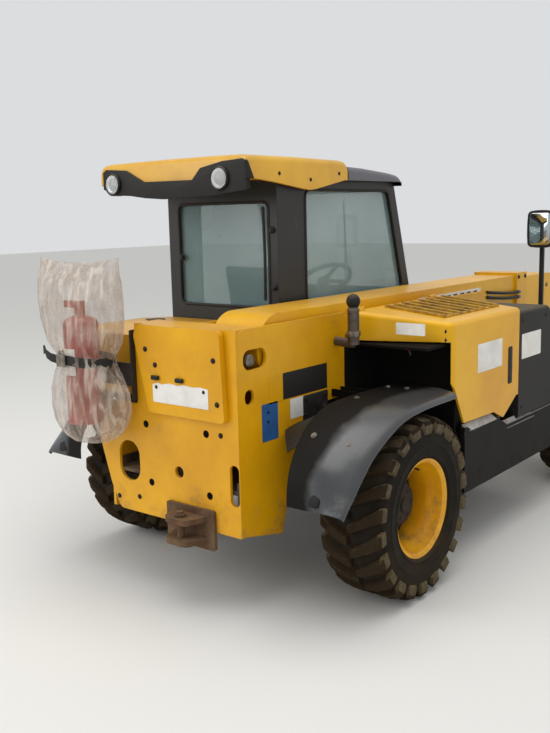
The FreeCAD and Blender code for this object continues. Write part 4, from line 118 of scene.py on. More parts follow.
def finish(name, base, shade, rough, metallic=0.0, cloud=0.25, grain=0.0015, relief=0.00003, dust=0.25,
           dust_tone="#8f7c5c", mud=0.0, mud_top=0.8, mud_tone="#6e5a42", edge=0.004, wear_and_shade=None, sockets=None):
    """A surface with clouded colour, fine relief, dust on its tops, mud low down and soft or chipped edges."""
    material, tree, shader = new_material(name)
    for key, value in (sockets or {}).items():
        shader.inputs[key].default_value = value
    spot = add(tree, "ShaderNodeTexCoord")
    place = spot.outputs["Object"]
    clouds = add(tree, "ShaderNodeTexNoise", {"Vector": place, "Scale": 1 / cloud, "Detail": 7.0, "Roughness": 0.62})
    tone = add(tree, "ShaderNodeMapRange", {0: clouds, 1: 0.36, 2: 0.68})
    paint = add(tree, "ShaderNodeMix", {0: tone, 6: colour(base), 7: colour(shade)}, data_type="RGBA")
    smudge = add(tree, "ShaderNodeTexNoise", {"Vector": place, "Scale": 22.0, "Detail": 9.0, "Roughness": 0.7})
    normal = add(tree, "ShaderNodeBevel", {"Radius": edge}, samples=4)
    skin = paint.outputs[2]
    if wear_and_shade:
        flat = add(tree, "ShaderNodeNewGeometry")
        meet = add(tree, "ShaderNodeVectorMath", {0: normal, 1: flat.outputs["Normal"]},
                   operation="DOT_PRODUCT")
        rim = add(tree, "ShaderNodeMapRange", {0: meet.outputs["Value"], 1: 0.985, 2: 0.90})
        chip = add(tree, "ShaderNodeMapRange", {0: smudge, 1: 0.52, 2: 0.62})
        bare = add(tree, "ShaderNodeMath", {0: rim, 1: chip}, operation="MULTIPLY")
        skin = add(tree, "ShaderNodeMix", {0: bare, 6: skin, 7: colour(wear_and_shade)}, data_type="RGBA").outputs[2]
    up = add(tree, "ShaderNodeSeparateXYZ", {0: spot.outputs["Normal"]})
    lie = add(tree, "ShaderNodeMapRange", {0: up.outputs["Z"], 1: 0.35, 2: 1.0, 3: 0.0, 4: dust * 1.6})
    film = add(tree, "ShaderNodeMath", {0: lie, 1: smudge}, operation="MULTIPLY")
    film.use_clamp = True
    skin = add(tree, "ShaderNodeMix", {0: film, 6: skin, 7: colour(dust_tone)}, data_type="RGBA").outputs[2]
    height = add(tree, "ShaderNodeSeparateXYZ", {0: place})
    low = add(tree, "ShaderNodeMapRange", {0: height.outputs["Z"], 1: mud_top, 2: mud_top - 0.75, 3: 0.0, 4: 0.42})
    splash = add(tree, "ShaderNodeTexNoise", {"Vector": place, "Scale": 9.0, "Detail": 10.0, "Roughness": 0.72})
    sum_ = add(tree, "ShaderNodeMath", {0: low, 1: splash}, operation="ADD")
    cake = add(tree, "ShaderNodeMapRange", {0: sum_, 1: 0.62, 2: 0.80, 3: 0.0, 4: mud})
    skin = add(tree, "ShaderNodeMix", {0: cake, 6: skin, 7: colour(mud_tone)}, data_type="RGBA").outputs[2]
    tree.links.new(skin, shader.inputs["Base Color"])
    dull = add(tree, "ShaderNodeMath", {0: film, 1: cake}, operation="MAXIMUM")
    sheen = add(tree, "ShaderNodeMapRange", {0: dull, 1: 0.0, 2: 0.8, 3: rough, 4: 0.88})
    tree.links.new(sheen.outputs[0], shader.inputs["Roughness"])
    if metallic:
        metal = add(tree, "ShaderNodeMapRange", {0: dull, 1: 0.0, 2: 0.5, 3: metallic, 4: 0.0})
        tree.links.new(metal.outputs[0], shader.inputs["Metallic"])
    pores = add(tree, "ShaderNodeTexNoise", {"Vector": place, "Scale": 1 / grain, "Detail": 3.0})
    fine = add(tree, "ShaderNodeBump", {"Strength": 1.0, "Distance": relief, "Height": pores,
                                        "Normal": normal})
    lumps = add(tree, "ShaderNodeBump", {"Strength": 1.0, "Distance": 0.004, "Height": cake,
                                         "Normal": fine})
    tree.links.new(lumps.outputs[0], shader.inputs["Normal"])
    return material


THIN_COAT = {"Specular IOR Level": 0.3, "Coat Weight": 0.15, "Coat Roughness": 0.2}

# Sprayed yellow enamel on steel plate: smooth gloss with slight orange peel, dusty tops, muddy foot, chipped edges.
yellow_enamel = finish("yellow_enamel", "#e2a606", "#cd9008", 0.34, relief=0.00002, cloud=0.4, dust=0.2, mud=0.55,
                       mud_top=0.62, mud_tone="#8a6c3c", wear_and_shade="#6b5a3a",
                       sockets=THIN_COAT)
# The same enamel on the boom and hood, a copy made a little lighter as painted light, and cleaner.
hood_enamel_painted_light = finish("hood_enamel_painted_light", "#e4ac08", "#d3960a", 0.32, relief=0.00002, cloud=0.5, dust=0.22, mud=0.4,
                     mud_top=0.75, mud_tone="#96763f", wear_and_shade="#7a6438",
                     sockets=THIN_COAT)
# Satin black powder coat on the cab's steel tube: an even soft sheen.
cab_enamel = finish("cab_powder_coat", "#201f1d", "#191815", 0.42, grain=0.0012, relief=0.00005, dust=0.25, mud=0.35,
                    mud_top=0.95, wear_and_shade="#4c4740")
# Black enamel on the heavy steel of frame, carriage and forks: half matt, scuffed and muddy.
frame_enamel = finish("frame_black_enamel", "#2a2825", "#1c1a18", 0.5, relief=0.00008, dust=0.35, mud=0.9,
                      mud_top=0.95, wear_and_shade="#6d665b")
# Moulded black polypropylene with a fine leather grain: dull, greys where it is dusty.
black_moulding = finish("moulded_polypropylene", "#23211f", "#1a1917", 0.55, grain=0.0022, relief=0.00018, dust=0.3,
                        mud=0.5, mud_top=0.72, mud_tone="#4a3d2b", sockets={"Specular IOR Level": 0.25})
# Fender plastic dulled by mud on the splash curtain; on the recesses its near-black is painted shade.
dull_plastic = finish("dark_fender_plastic_and_recess_shade", "#12100e", "#1c1712", 0.6, grain=0.004, relief=0.0001, cloud=0.12,
                      dust=0.08, mud=0.4, mud_top=0.72, mud_tone="#3d3224", sockets={"Specular IOR Level": 0.3})
# Black sheet metal, drawn near-black as painted shade of the engine bay: matt, hardly any dust.
bay_black = finish("engine_bay_black_and_shade", "#0e0d0c", "#141210", 0.85, dust=0.0, mud=0.3, mud_top=0.8, mud_tone="#33291d",
                   sockets={"Specular IOR Level": 0.12})
# The skirt and steps: black enamel, pale grey on every level face.
step_black = finish("step_black_enamel", "#191714", "#12100e", 0.6, relief=0.00012, dust=1.0,
                       dust_tone="#a8a39b", mud=0.5, mud_top=0.62, mud_tone="#33291c", wear_and_shade="#6f695f",
                       sockets={"Specular IOR Level": 0.15})
# Pale grey strips along the skirt's shoulder.
pale_ledge = finish("pale_ledge_strip", "#b3b0ad", "#8d8780", 0.6, cloud=0.08, dust=0.2, dust_tone="#a8a39b", mud=0.4,
                    mud_top=0.9)
# The louvre's yellow slats, darkened brown all over as painted shade of the gaps between them.
louvre_enamel = finish("louvre_enamel_painted_shade", "#c18e10", "#7d5c18", 0.45, cloud=0.05, dust=0.2, wear_and_shade="#4a3818",
                       sockets={"Specular IOR Level": 0.3})
# Cast iron of the engine and axle housings: dark, coarse, oily dust.
cast_iron = finish("sand_cast_iron", "#3d3933", "#2a2723", 0.62, metallic=0.35, grain=0.003, relief=0.0004, dust=0.4,
                   mud=0.95, mud_top=0.85)
# Heat-stained exhaust steel: grey-brown with rust clouds.
exhaust_steel = finish("heat_stained_steel", "#6a625a", "#4a3f35", 0.48, metallic=0.7, cloud=0.05, relief=0.0001,
                       dust=0.3)
# Rusty forged steel of the hitch under mud.
hitch_steel = finish("rusted_forging", "#4a3626", "#6d4526", 0.72, metallic=0.3, cloud=0.06, grain=0.003, relief=0.0005,
                     dust=0.4, mud=0.8, mud_top=0.75, mud_tone="#6a5234")
# Zinc-plated fasteners, greyed.
zinc_steel = finish("zinc_plated_steel", "#8b8478", "#5c554a", 0.4, metallic=0.8, cloud=0.02, dust=0.25, edge=0.0008)
# Black oxide bolts, dull.
black_bolt = finish("black_oxide_steel", "#26231f", "#171513", 0.5, metallic=0.5, cloud=0.02, dust=0.3, edge=0.0008)
# Hard chrome on ground rod: bright, faint grinding haze.
chrome = finish("hard_chrome", "#c9c9c6", "#b0aea8", 0.14, metallic=1.0, grain=0.0015, relief=0.000006, dust=0.15)
# Ground wear on fork steel where loads rub.
fork_steel = finish("worn_fork_steel", "#37322c", "#4e473d", 0.46, metallic=0.6, relief=0.0001, dust=0.35, mud=0.5,
                    mud_top=0.4, wear_and_shade="#8b8377")
# Deep yellow rim enamel, browner in patches towards the bottom.
rim_enamel = finish("rim_enamel", "#e8aa0c", "#d8930a", 0.36, cloud=0.12, dust=0.1, mud=0.6, mud_top=0.50,
                    mud_tone="#7d5f30", wear_and_shade="#6b5128")
# Muddy cast hub, near-black; on the wheel's disc this near-black is partly painted shade.
hub_iron = finish("hub_casting_mud_and_shade", "#17130f", "#241c14", 0.66, metallic=0.2, cloud=0.06, grain=0.003, relief=0.0006,
                  dust=0.25, mud=0.4, mud_top=0.9, mud_tone="#35291c")
# Carbon-black tyre rubber, brown with worked-in mud.
sidewall_rubber = finish("tyre_sidewall_rubber", "#15120d", "#211b13", 0.75, cloud=0.09, grain=0.004, relief=0.0004,
                         dust=0.25, mud=0.5, mud_top=0.7, mud_tone="#352a1b", edge=0.003,
                         sockets={"Specular IOR Level": 0.15})
# The tread of the same rubber, caked brown between the lugs and rubbed pale on their corners.
tyre_rubber = finish("tyre_tread_rubber", "#1a150f", "#2a2116", 0.85, cloud=0.07, grain=0.004, relief=0.0012, dust=0.25,
                     mud=0.7, mud_top=1.05, mud_tone="#35291a", edge=0.007, wear_and_shade="#8f8163",
                     sockets={"Specular IOR Level": 0.12})
# The lugs' outer ends, rubbed pale by kerbs and stones.
scuffed_rubber = finish("scuffed_lug_rubber", "#5f543f", "#382e20", 0.85, cloud=0.03, grain=0.004, relief=0.001,
                        dust=0.2, mud=0.4, mud_top=1.05, mud_tone="#57492f", edge=0.005,
                        sockets={"Specular IOR Level": 0.25})
# Hydraulic hose and gasket rubber: even matt black.
gasket_rubber = finish("extruded_rubber", "#191817", "#121110", 0.6, grain=0.002, relief=0.00008, dust=0.2)
# Red bottle enamel seen through film.
red_enamel = finish("bottle_red_enamel", "#a8231c", "#8a1a16", 0.28, dust=0.1, sockets={"Coat Weight": 0.5})
# Cast white vinyl: flat, faintly soiled.
white_vinyl = finish("white_vinyl", "#e6e4de", "#d3cfc5", 0.4, cloud=0.08, dust=0.1, edge=0.0004)
# Cast black vinyl: flatter than the paint around it.
black_vinyl = finish("black_vinyl", "#1f1d1b", "#171615", 0.42, cloud=0.1, dust=0.15, edge=0.0004)
# Cast blue vinyl.
blue_vinyl = finish("blue_vinyl", "#2c5c93", "#264f80", 0.4, cloud=0.06, dust=0.15, edge=0.0004)
# Painted shade for the unlit inside of holes: near-black, no sheen.
hollow_dark = finish("unlit_hollow", "#0b0a09", "#070606", 0.95, dust=0.0, edge=0.0005,
                     sockets={"Specular IOR Level": 0.1})
# Woven polyester strap: matt black, cross ribs.
strap_webbing = finish("polyester_webbing", "#1b1a19", "#242220", 0.85, grain=0.0018, relief=0.0006, dust=0.2)
# Red knob plastic.
knob_red = finish("red_moulded_knob", "#b3261e", "#98201a", 0.35, dust=0.1, edge=0.001)
# Cream dial faces.
dial_face = finish("printed_dial", "#d9d6cc", "#c9c5b8", 0.4, dust=0.05, edge=0.0004)


def see_through(name, tint, haze, alpha, streak, rough):
    """Glass or clear plastic: tinted, a little hazed in clouds, clearer in between."""
    material, tree, shader = new_material(name)
    shader.inputs["Roughness"].default_value = rough
    place = add(tree, "ShaderNodeTexCoord").outputs["Object"]
    wash = add(tree, "ShaderNodeTexNoise", {"Vector": place, "Scale": 1.6, "Detail": 3.0, "Roughness": 0.5})
    pale = add(tree, "ShaderNodeMapRange", {0: wash, 1: 0.38, 2: 0.66})
    mix = add(tree, "ShaderNodeMix", {0: pale, 6: colour(tint), 7: colour(haze)}, data_type="RGBA")
    cover = add(tree, "ShaderNodeMapRange", {0: wash, 1: 0.38, 2: 0.66, 3: alpha - streak,
                                             4: alpha + streak})
    tree.links.new(mix.outputs[2], shader.inputs["Base Color"])
    tree.links.new(cover.outputs[0], shader.inputs["Alpha"])
    return material


# Tinted toughened glass: greenish, with the sky's reflection painted in as a pale, half-opaque teal, paler and more
# opaque in clouds; hard reflections.
tinted_glass = see_through("tinted_glass_painted_reflection", "#86a5a6", "#a3babb", 0.42, 0.05, 0.04)
# Clear polycarbonate lens: nearly invisible but for its glints.
lamp_lens = see_through("polycarbonate_lens", "#dfe4e4", "#eef0ee", 0.28, 0.05, 0.06)
# Vacuum-metallised reflector bowl.
reflector = finish("metallised_reflector", "#e2e4e4", "#c4c8c9", 0.12, metallic=1.0, dust=0.0, edge=0.001)
# Silvered mirror glass.
mirror_glass = finish("silvered_mirror", "#bfc8cb", "#aab4b8", 0.04, metallic=1.0, relief=0.000001, dust=0.1,
                      edge=0.001)


def poly_film():
    """Thin milky polythene: creases catch the light white, the slack between shows what is behind."""
    material, tree, shader = new_material("milky_polythene_film")
    shader.inputs["IOR"].default_value = 1.5
    shader.inputs["Roughness"].default_value = 0.24
    shader.inputs["Sheen Weight"].default_value = 0.3
    place = add(tree, "ShaderNodeTexCoord").outputs["Object"]
    # Creases hang down the bag, about 25 mm apart, so the pattern is stretched along Z.
    hang = add(tree, "ShaderNodeMapping", {"Vector": place, "Scale": (1.0, 1.0, 0.28)})
    crease = add(tree, "ShaderNodeTexNoise", {"Vector": hang, "Scale": 26.0, "Detail": 3.5,
                                              "Roughness": 0.5, "Distortion": 0.8})
    slack = add(tree, "ShaderNodeTexNoise", {"Vector": place, "Scale": 9.0, "Detail": 3.0})
    ridge = add(tree, "ShaderNodeMapRange", {0: crease, 1: 0.40, 2: 0.66})
    wide = add(tree, "ShaderNodeMapRange", {0: slack, 1: 0.35, 2: 0.65})
    both = add(tree, "ShaderNodeMath", {0: ridge, 1: wide}, operation="ADD")
    mix = add(tree, "ShaderNodeMix", {0: ridge, 6: colour("#a08a76"), 7: colour("#d3c6b6")},
              data_type="RGBA")
    cover = add(tree, "ShaderNodeMapRange", {0: both, 1: 0.1, 2: 1.6, 3: 0.22, 4: 0.56})
    bump = add(tree, "ShaderNodeBump", {"Strength": 1.0, "Distance": 0.004, "Height": crease})
    tree.links.new(mix.outputs[2], shader.inputs["Base Color"])
    tree.links.new(cover.outputs[0], shader.inputs["Alpha"])
    tree.links.new(bump.outputs[0], shader.inputs["Normal"])
    return material


def woven_cloth():
    """Woven polyester seat cloth: crossed threads, drawn 4 mm apart so that they show, with soft sheen."""
    material, tree, shader = new_material("woven_seat_cloth")
    shader.inputs["Roughness"].default_value = 0.85
    shader.inputs["Sheen Weight"].default_value = 0.4
    place = add(tree, "ShaderNodeTexCoord").outputs["Object"]
    warp = add(tree, "ShaderNodeTexWave", {"Vector": place, "Scale": 78.0}, bands_direction="Y")
    weft = add(tree, "ShaderNodeTexWave", {"Vector": place, "Scale": 78.0}, bands_direction="Z")
    weave = add(tree, "ShaderNodeMath", {0: warp.outputs[1], 1: weft.outputs[1]}, operation="MAXIMUM")
    mottle = add(tree, "ShaderNodeTexNoise", {"Vector": place, "Scale": 60.0, "Detail": 4.0})
    mix = add(tree, "ShaderNodeMix", {0: mottle, 6: colour("#1f1f20"), 7: colour("#3a393a")},
              data_type="RGBA")
    bump = add(tree, "ShaderNodeBump", {"Strength": 0.8, "Distance": 0.0008, "Height": weave})
    tree.links.new(mix.outputs[2], shader.inputs["Base Color"])
    tree.links.new(bump.outputs[0], shader.inputs["Normal"])
    return material


film = poly_film()
seat_cloth = woven_cloth()


def roof_finish():
    """The roof's yellow gel coat, with the grey cap in front of its seam."""
    material = finish("roof_gel_coat", "#dba61c", "#c08f22", 0.36, cloud=0.35, dust=0.3, wear_and_shade="#8b7746",
                      sockets={"Coat Weight": 0.2, "Coat Roughness": 0.25})
    tree = material.node_tree
    shader = tree.nodes["Principled BSDF"]
    skin = shader.inputs["Base Color"].links[0].from_socket
    place = add(tree, "ShaderNodeTexCoord").outputs["Object"]
    along = add(tree, "ShaderNodeSeparateXYZ", {0: place})
    cap = add(tree, "ShaderNodeMath", {0: along.outputs["X"], 1: AXLE + 0.632}, operation="GREATER_THAN")
    mix = add(tree, "ShaderNodeMix", {0: cap, 6: skin, 7: colour("#56555b")}, data_type="RGBA")
    tree.links.new(mix.outputs[2], shader.inputs["Base Color"])
    return material


roof_gel_coat = roof_finish()


def fender_finish():
    """Glossy black moulded plastic, drawn blue-grey as painted sky reflection, with its inner half painted brown-black
    as shade and dulled.
    """
    # The blue-grey base colour is painted sky reflection on black plastic.
    material = finish("gloss_fender_plastic", "#35383c", "#2a2c2f", 0.24, grain=0.006, relief=0.00008, cloud=0.3,
                      dust=0.1, mud=0.35, mud_top=0.70, mud_tone="#5d5140", sockets={"Specular IOR Level": 0.7})
    tree = material.node_tree
    shader = tree.nodes["Principled BSDF"]
    skin = shader.inputs["Base Color"].links[0].from_socket
    sheen = shader.inputs["Roughness"].links[0].from_socket
    place = add(tree, "ShaderNodeTexCoord").outputs["Object"]
    across = add(tree, "ShaderNodeSeparateXYZ", {0: place})
    # Inside a ragged line the fender turns brown-black as painted shade, rough and with little specular.
    reach = add(tree, "ShaderNodeMath", {0: across.outputs["Y"]}, operation="ABSOLUTE")
    blot = add(tree, "ShaderNodeTexNoise", {"Vector": place, "Scale": 7.0, "Detail": 3.0})
    ragged = add(tree, "ShaderNodeMath", {0: blot, 1: 0.09, 2: reach}, operation="MULTIPLY_ADD")
    wear_and_shade = add(tree, "ShaderNodeMapRange", {0: ragged, 1: 0.775, 2: 0.825, 3: 1.0, 4: 0.0})
    paint = add(tree, "ShaderNodeMix", {0: wear_and_shade, 6: skin, 7: colour("#15120f")}, data_type="RGBA")
    gloss = add(tree, "ShaderNodeMix", {0: wear_and_shade, 2: sheen, 3: 0.6}, data_type="FLOAT")
    glint = add(tree, "ShaderNodeMapRange", {0: wear_and_shade, 3: 0.7, 4: 0.12})
    tree.links.new(paint.outputs[2], shader.inputs["Base Color"])
    tree.links.new(gloss.outputs[0], shader.inputs["Roughness"])
    tree.links.new(glint.outputs[0], shader.inputs["Specular IOR Level"])
    return material


fender_plastic = fender_finish()

# Mesh tools


def new_thing(name, points, faces):
    mesh = bpy.data.meshes.new(name)
    mesh.from_pydata([tuple(p) for p in points], [], faces)
    thing = bpy.data.objects.new(name, mesh)
    scene.collection.objects.link(thing)
    return thing


def mend(mesh, angle=32):
    """Merges doubles, turns the faces outwards and smooths all but the sharp edges."""
    work = bmesh.new()
    work.from_mesh(mesh)
    bmesh.ops.remove_doubles(work, verts=work.verts, dist=1e-5)
    bmesh.ops.recalc_face_normals(work, faces=work.faces)
    work.to_mesh(mesh)
    work.free()
    mesh.shade_smooth()
    mesh.set_sharp_from_angle(angle=math.radians(angle))


def settle(thing, material, body, stands_for=(), angle=32):
    """Bakes the modifiers, gives the piece its finish and fixes it to its body."""
    bpy.context.view_layer.update()
    mesh = bpy.data.meshes.new_from_object(thing.evaluated_get(bpy.context.evaluated_depsgraph_get()))
    if thing.type == "MESH":
        thing.modifiers.clear()
        thing.data = mesh
    else:
        name = thing.name
        bpy.data.objects.remove(thing)
        thing = bpy.data.objects.new(name, mesh)
        scene.collection.objects.link(thing)
    mesh.materials.clear()
    mesh.materials.append(material)
    mend(mesh, angle)
    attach(thing, body)
    if stands_for:
        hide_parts(*stands_for)
    return thing


def turned(name, profile, centre, axis, steps=72, ring=True):
    """A profile of (radius, distance along the axis) turned about the axis through centre."""
    axis = Vector(axis).normalized()
    across = axis.orthogonal().normalized()
    up = axis.cross(across)
    points, faces = [], []
    count = len(profile)
    for step in range(steps):
        angle = math.tau * step / steps
        out = across * math.cos(angle) + up * math.sin(angle)
        points += [centre + out * r + axis * a for r, a in profile]
    for step in range(steps):
        here, there = step * count, (step + 1) % steps * count
        for k in range(count if ring else count - 1):
            n = (k + 1) % count
            faces.append((here + k, here + n, there + n, there + k))
    return new_thing(name, points, faces)


def lofted(name, rings, around=True, capped=True):
    """A skin over rings of equal counts."""
    count = len(rings[0])
    points = [p for ring in rings for p in ring]
    faces = []
    for k in range(len(rings) - 1):
        for j in range(count if around else count - 1):
            n = (j + 1) % count
            faces.append((k * count + j, k * count + n, (k + 1) * count + n, (k + 1) * count + j))
    if capped:
        faces.append(tuple(reversed(range(count))))
        faces.append(tuple(range((len(rings) - 1) * count, len(rings) * count)))
    return new_thing(name, points, faces)


def rounded(corners, radius, loop=True, steps=6):
    """A flat outline with its corners rounded. A corner's third number is its own radius."""
    out = []
    count = len(corners)
    for k, corner in enumerate(corners):
        here = Vector(corner[:2])
        if not loop and k in (0, count - 1):
            out.append(tuple(here))
            continue
        size = corner[2] if len(corner) > 2 else radius
        before = Vector(corners[k - 1][:2]) - here
        after = Vector(corners[(k + 1) % count][:2]) - here
        turn = before.angle(after)
        if size <= 0 or turn > 3.1:
            out.append(tuple(here))
            continue
        reach = min(size / math.tan(turn / 2), before.length * 0.48, after.length * 0.48)
        start, end = here + before.normalized() * reach, here + after.normalized() * reach
        for step in range(steps + 1):
            t = step / steps
            out.append(tuple(start * (1 - t) ** 2 + here * 2 * t * (1 - t) + end * t ** 2))
    return out


def circle_of(a, b, radius, count, start=0.0):
    """Points round a circle, the first of them start steps on."""
    turns = [math.tau * (k + start) / count for k in range(count)]
    return [(a + radius * math.cos(t), b + radius * math.sin(t)) for t in turns]


def box_of(low_a, high_a, low_b, high_b):
    return [(low_a, low_b), (high_a, low_b), (high_a, high_b), (low_a, high_b)]


def flat(name, outline, place, thick, material, body, slot, edge=0.0, seat=0.0002):
    """A flat piece on a plane, its edges eased."""
    low = [place(a, b, seat) for a, b in outline]
    high = [place(a, b, seat + thick) for a, b in outline]
    thing = lofted(name, [low, high])
    mend(thing.data)
    if edge:
        soft = thing.modifiers.new("soft", "BEVEL")
        soft.width = edge
        soft.segments = 3
        soft.limit_method = "ANGLE"
        soft.angle_limit = math.radians(40)
    return settle(thing, material, body, angle=40)


def pipe(name, points, radius, material, body, loop=False, smooth=False):
    """A round bar or pipe along points."""
    curve = bpy.data.curves.new(name, "CURVE")
    curve.dimensions = "3D"
    line = curve.splines.new("NURBS" if smooth else "POLY")
    line.points.add(len(points) - 1)
    for spot, point in zip(line.points, points):
        spot.co = (*point, 1.0)
    if smooth:
        line.order_u = 3
        line.use_endpoint_u = True
        line.resolution_u = 8
    line.use_cyclic_u = loop
    curve.bevel_depth = radius
    curve.bevel_resolution = 4
    curve.use_fill_caps = True
    thing = bpy.data.objects.new(name, curve)
    scene.collection.objects.link(thing)
    return settle(thing, material, body)


def frame_of(place, outline):
    """The outline's points on a plane."""
    return [place(a, b, 0.0) for a, b in outline]


# Geometry Nodes for what repeats


def new_tree(name, sizes):
    """A tree with a geometry in and out, a finish, and named sizes."""
    tree = bpy.data.node_groups.new(name, "GeometryNodeTree")
    tree.interface.new_socket("Geometry", in_out="INPUT", socket_type="NodeSocketGeometry")
    tree.interface.new_socket("Finish", in_out="INPUT", socket_type="NodeSocketMaterial")
    for label, kind in sizes:
        tree.interface.new_socket(label, in_out="INPUT", socket_type=kind)
    tree.interface.new_socket("Geometry", in_out="OUTPUT", socket_type="NodeSocketGeometry")
    return tree, add(tree, "NodeGroupInput").outputs


def end_tree(tree, shape, given):
    real = add(tree, "GeometryNodeRealizeInstances", {0: shape})
    dressed = add(tree, "GeometryNodeSetMaterial", {"Geometry": real, "Material": given["Finish"]})
    add(tree, "NodeGroupOutput", {0: dressed})
    return tree


def bolt_tree():
    """A head with its washer on each point, turned to the point's aim."""
    tree, given = new_tree("bolts", [("Radius", "NodeSocketFloat"), ("Height", "NodeSocketFloat"),
                                     ("Sides", "NodeSocketInt")])
    top = add(tree, "ShaderNodeMath", {0: given["Radius"], 1: 0.88}, operation="MULTIPLY")
    head = add(tree, "GeometryNodeMeshCone", {"Vertices": given["Sides"], "Radius Top": top,
                                              "Radius Bottom": given["Radius"], "Depth": given["Height"]})
    wide = add(tree, "ShaderNodeMath", {0: given["Radius"], 1: 1.35}, operation="MULTIPLY")
    thin = add(tree, "ShaderNodeMath", {0: given["Height"], 1: 0.3}, operation="MULTIPLY")
    washer = add(tree, "GeometryNodeMeshCone", {"Vertices": 20, "Radius Top": wide,
                                                "Radius Bottom": wide, "Depth": thin})
    both = add(tree, "GeometryNodeJoinGeometry", {0: head.outputs["Mesh"]})
    tree.links.new(washer.outputs["Mesh"], both.inputs[0])
    aim = add(tree, "GeometryNodeInputNamedAttribute", {"Name": "aim"}, data_type="FLOAT_VECTOR")
    turn = add(tree, "FunctionNodeAlignRotationToVector", {"Vector": aim}, axis="Z")
    put = add(tree, "GeometryNodeInstanceOnPoints", {"Points": given["Geometry"], "Instance": both,
                                                     "Rotation": turn})
    return end_tree(tree, put.outputs[0], given)


def ring_tree():
    """The given shape, repeated round the Y axis and then moved to the centre."""
    tree, given = new_tree("ring", [("Count", "NodeSocketInt"), ("Start", "NodeSocketFloat"),
                                    ("Centre", "NodeSocketVector")])
    dots = add(tree, "GeometryNodePoints", {"Count": given["Count"]})
    step = add(tree, "ShaderNodeMath", {0: math.tau, 1: given["Count"]}, operation="DIVIDE")
    index = add(tree, "GeometryNodeInputIndex")
    angle = add(tree, "ShaderNodeMath", {0: index, 1: step, 2: given["Start"]},
                operation="MULTIPLY_ADD")
    about = add(tree, "ShaderNodeCombineXYZ", {"Y": angle})
    turn = add(tree, "FunctionNodeEulerToRotation", {0: about})
    put = add(tree, "GeometryNodeInstanceOnPoints", {"Points": dots, "Instance": given["Geometry"],
                                                     "Rotation": turn})
    moved = add(tree, "GeometryNodeTransform", {"Geometry": put, "Translation": given["Centre"]})
    return end_tree(tree, moved.outputs[0], given)


def row_tree():
    """The given shape, repeated along a straight step."""
    tree, given = new_tree("row", [("Count", "NodeSocketInt"), ("Step", "NodeSocketVector")])
    line = add(tree, "GeometryNodeMeshLine", {"Count": given["Count"], "Offset": given["Step"]}, mode="OFFSET")
    put = add(tree, "GeometryNodeInstanceOnPoints", {"Points": line, "Instance": given["Geometry"]})
    return end_tree(tree, put.outputs[0], given)


bolt_nodes, ring_nodes, row_nodes = bolt_tree(), ring_tree(), row_tree()


def grown(thing, tree, material, body, slot, **sizes):
    """Runs a tree on the piece and keeps the result as a plain mesh."""
    modifier = thing.modifiers.new("grow", "NODES")
    modifier.node_group = tree
    sizes["Finish"] = material
    for socket in tree.interface.items_tree:
        if socket.in_out == "INPUT" and socket.name in sizes:
            modifier[socket.identifier] = sizes[socket.name]
    return settle(thing, material, body)


def bolts(name, place, spots, radius, height, material, body, slot, sides=6):
    """Heads on a plane, at these spots."""
    thing = new_thing(name, [place(a, b) for a, b in spots], [])
    aim = thing.data.attributes.new("aim", "FLOAT_VECTOR", "POINT")
    way = place(0, 0, 1) - place(0, 0, 0)
    for item in aim.data:
        item.vector = way
    return grown(thing, bolt_nodes, material, body, slot, Radius=radius, Height=height, Sides=sides)


def hollows(name, place, spots, radius, body):
    """Drilled holes, drawn as discs of painted shade with a thin lip."""
    return bolts(name, place, spots, radius, 0.0012, hollow_dark, body, "black_enamel", sides=28)


# Wheels

LUGS = 22  # in each of the tyre's two rows
TREAD = [  # outer and inner corner of a lug's section as (y, radius), its half width and its turn in degrees
    ((0.004, 0.4115), (0.004, 0.384), 0.019, 0.0), ((0.040, 0.4145), (0.040, 0.384), 0.022, 2.2),
    ((0.082, 0.4135), (0.080, 0.382), 0.024, 5.6), ((0.120, 0.4080), (0.112, 0.376), 0.026, 8.6),
    ((0.143, 0.3975), (0.126, 0.366), 0.029, 10.2), ((0.1525, 0.3800), (0.134, 0.352), 0.029, 10.8),
    ((0.1535, 0.3580), (0.139, 0.340), 0.028, 11.0), ((0.1525, 0.3440), (0.141, 0.334), 0.026, 11.0)]


def lug(name, side):
    """One tread lug, wrapped round the shoulder."""
    rings = []
    for outer, inner, half, turn in TREAD:
        ring = []
        for w, h in ((-half * 1.14, 0.0), (-half, 0.84), (-half * 0.88, 1.0), (half * 0.88, 1.0), (half, 0.84),
                     (half * 1.14, 0.0)):
            y = inner[0] + (outer[0] - inner[0]) * h
            r = inner[1] + (outer[1] - inner[1]) * h
            angle = math.radians(turn) + w / r
            wear_and_shade = noise.noise(Vector((y * 60, angle * 30, side * 3))) * 0.0012 * h
            ring.append(Vector(((r - abs(wear_and_shade)) * math.sin(angle), y * side, (r - abs(wear_and_shade)) * math.cos(angle))))
        rings.append(ring)
    return lofted(name, rings)


NUT_CIRCLE, HUB_CIRCLE = 0.136, 0.062


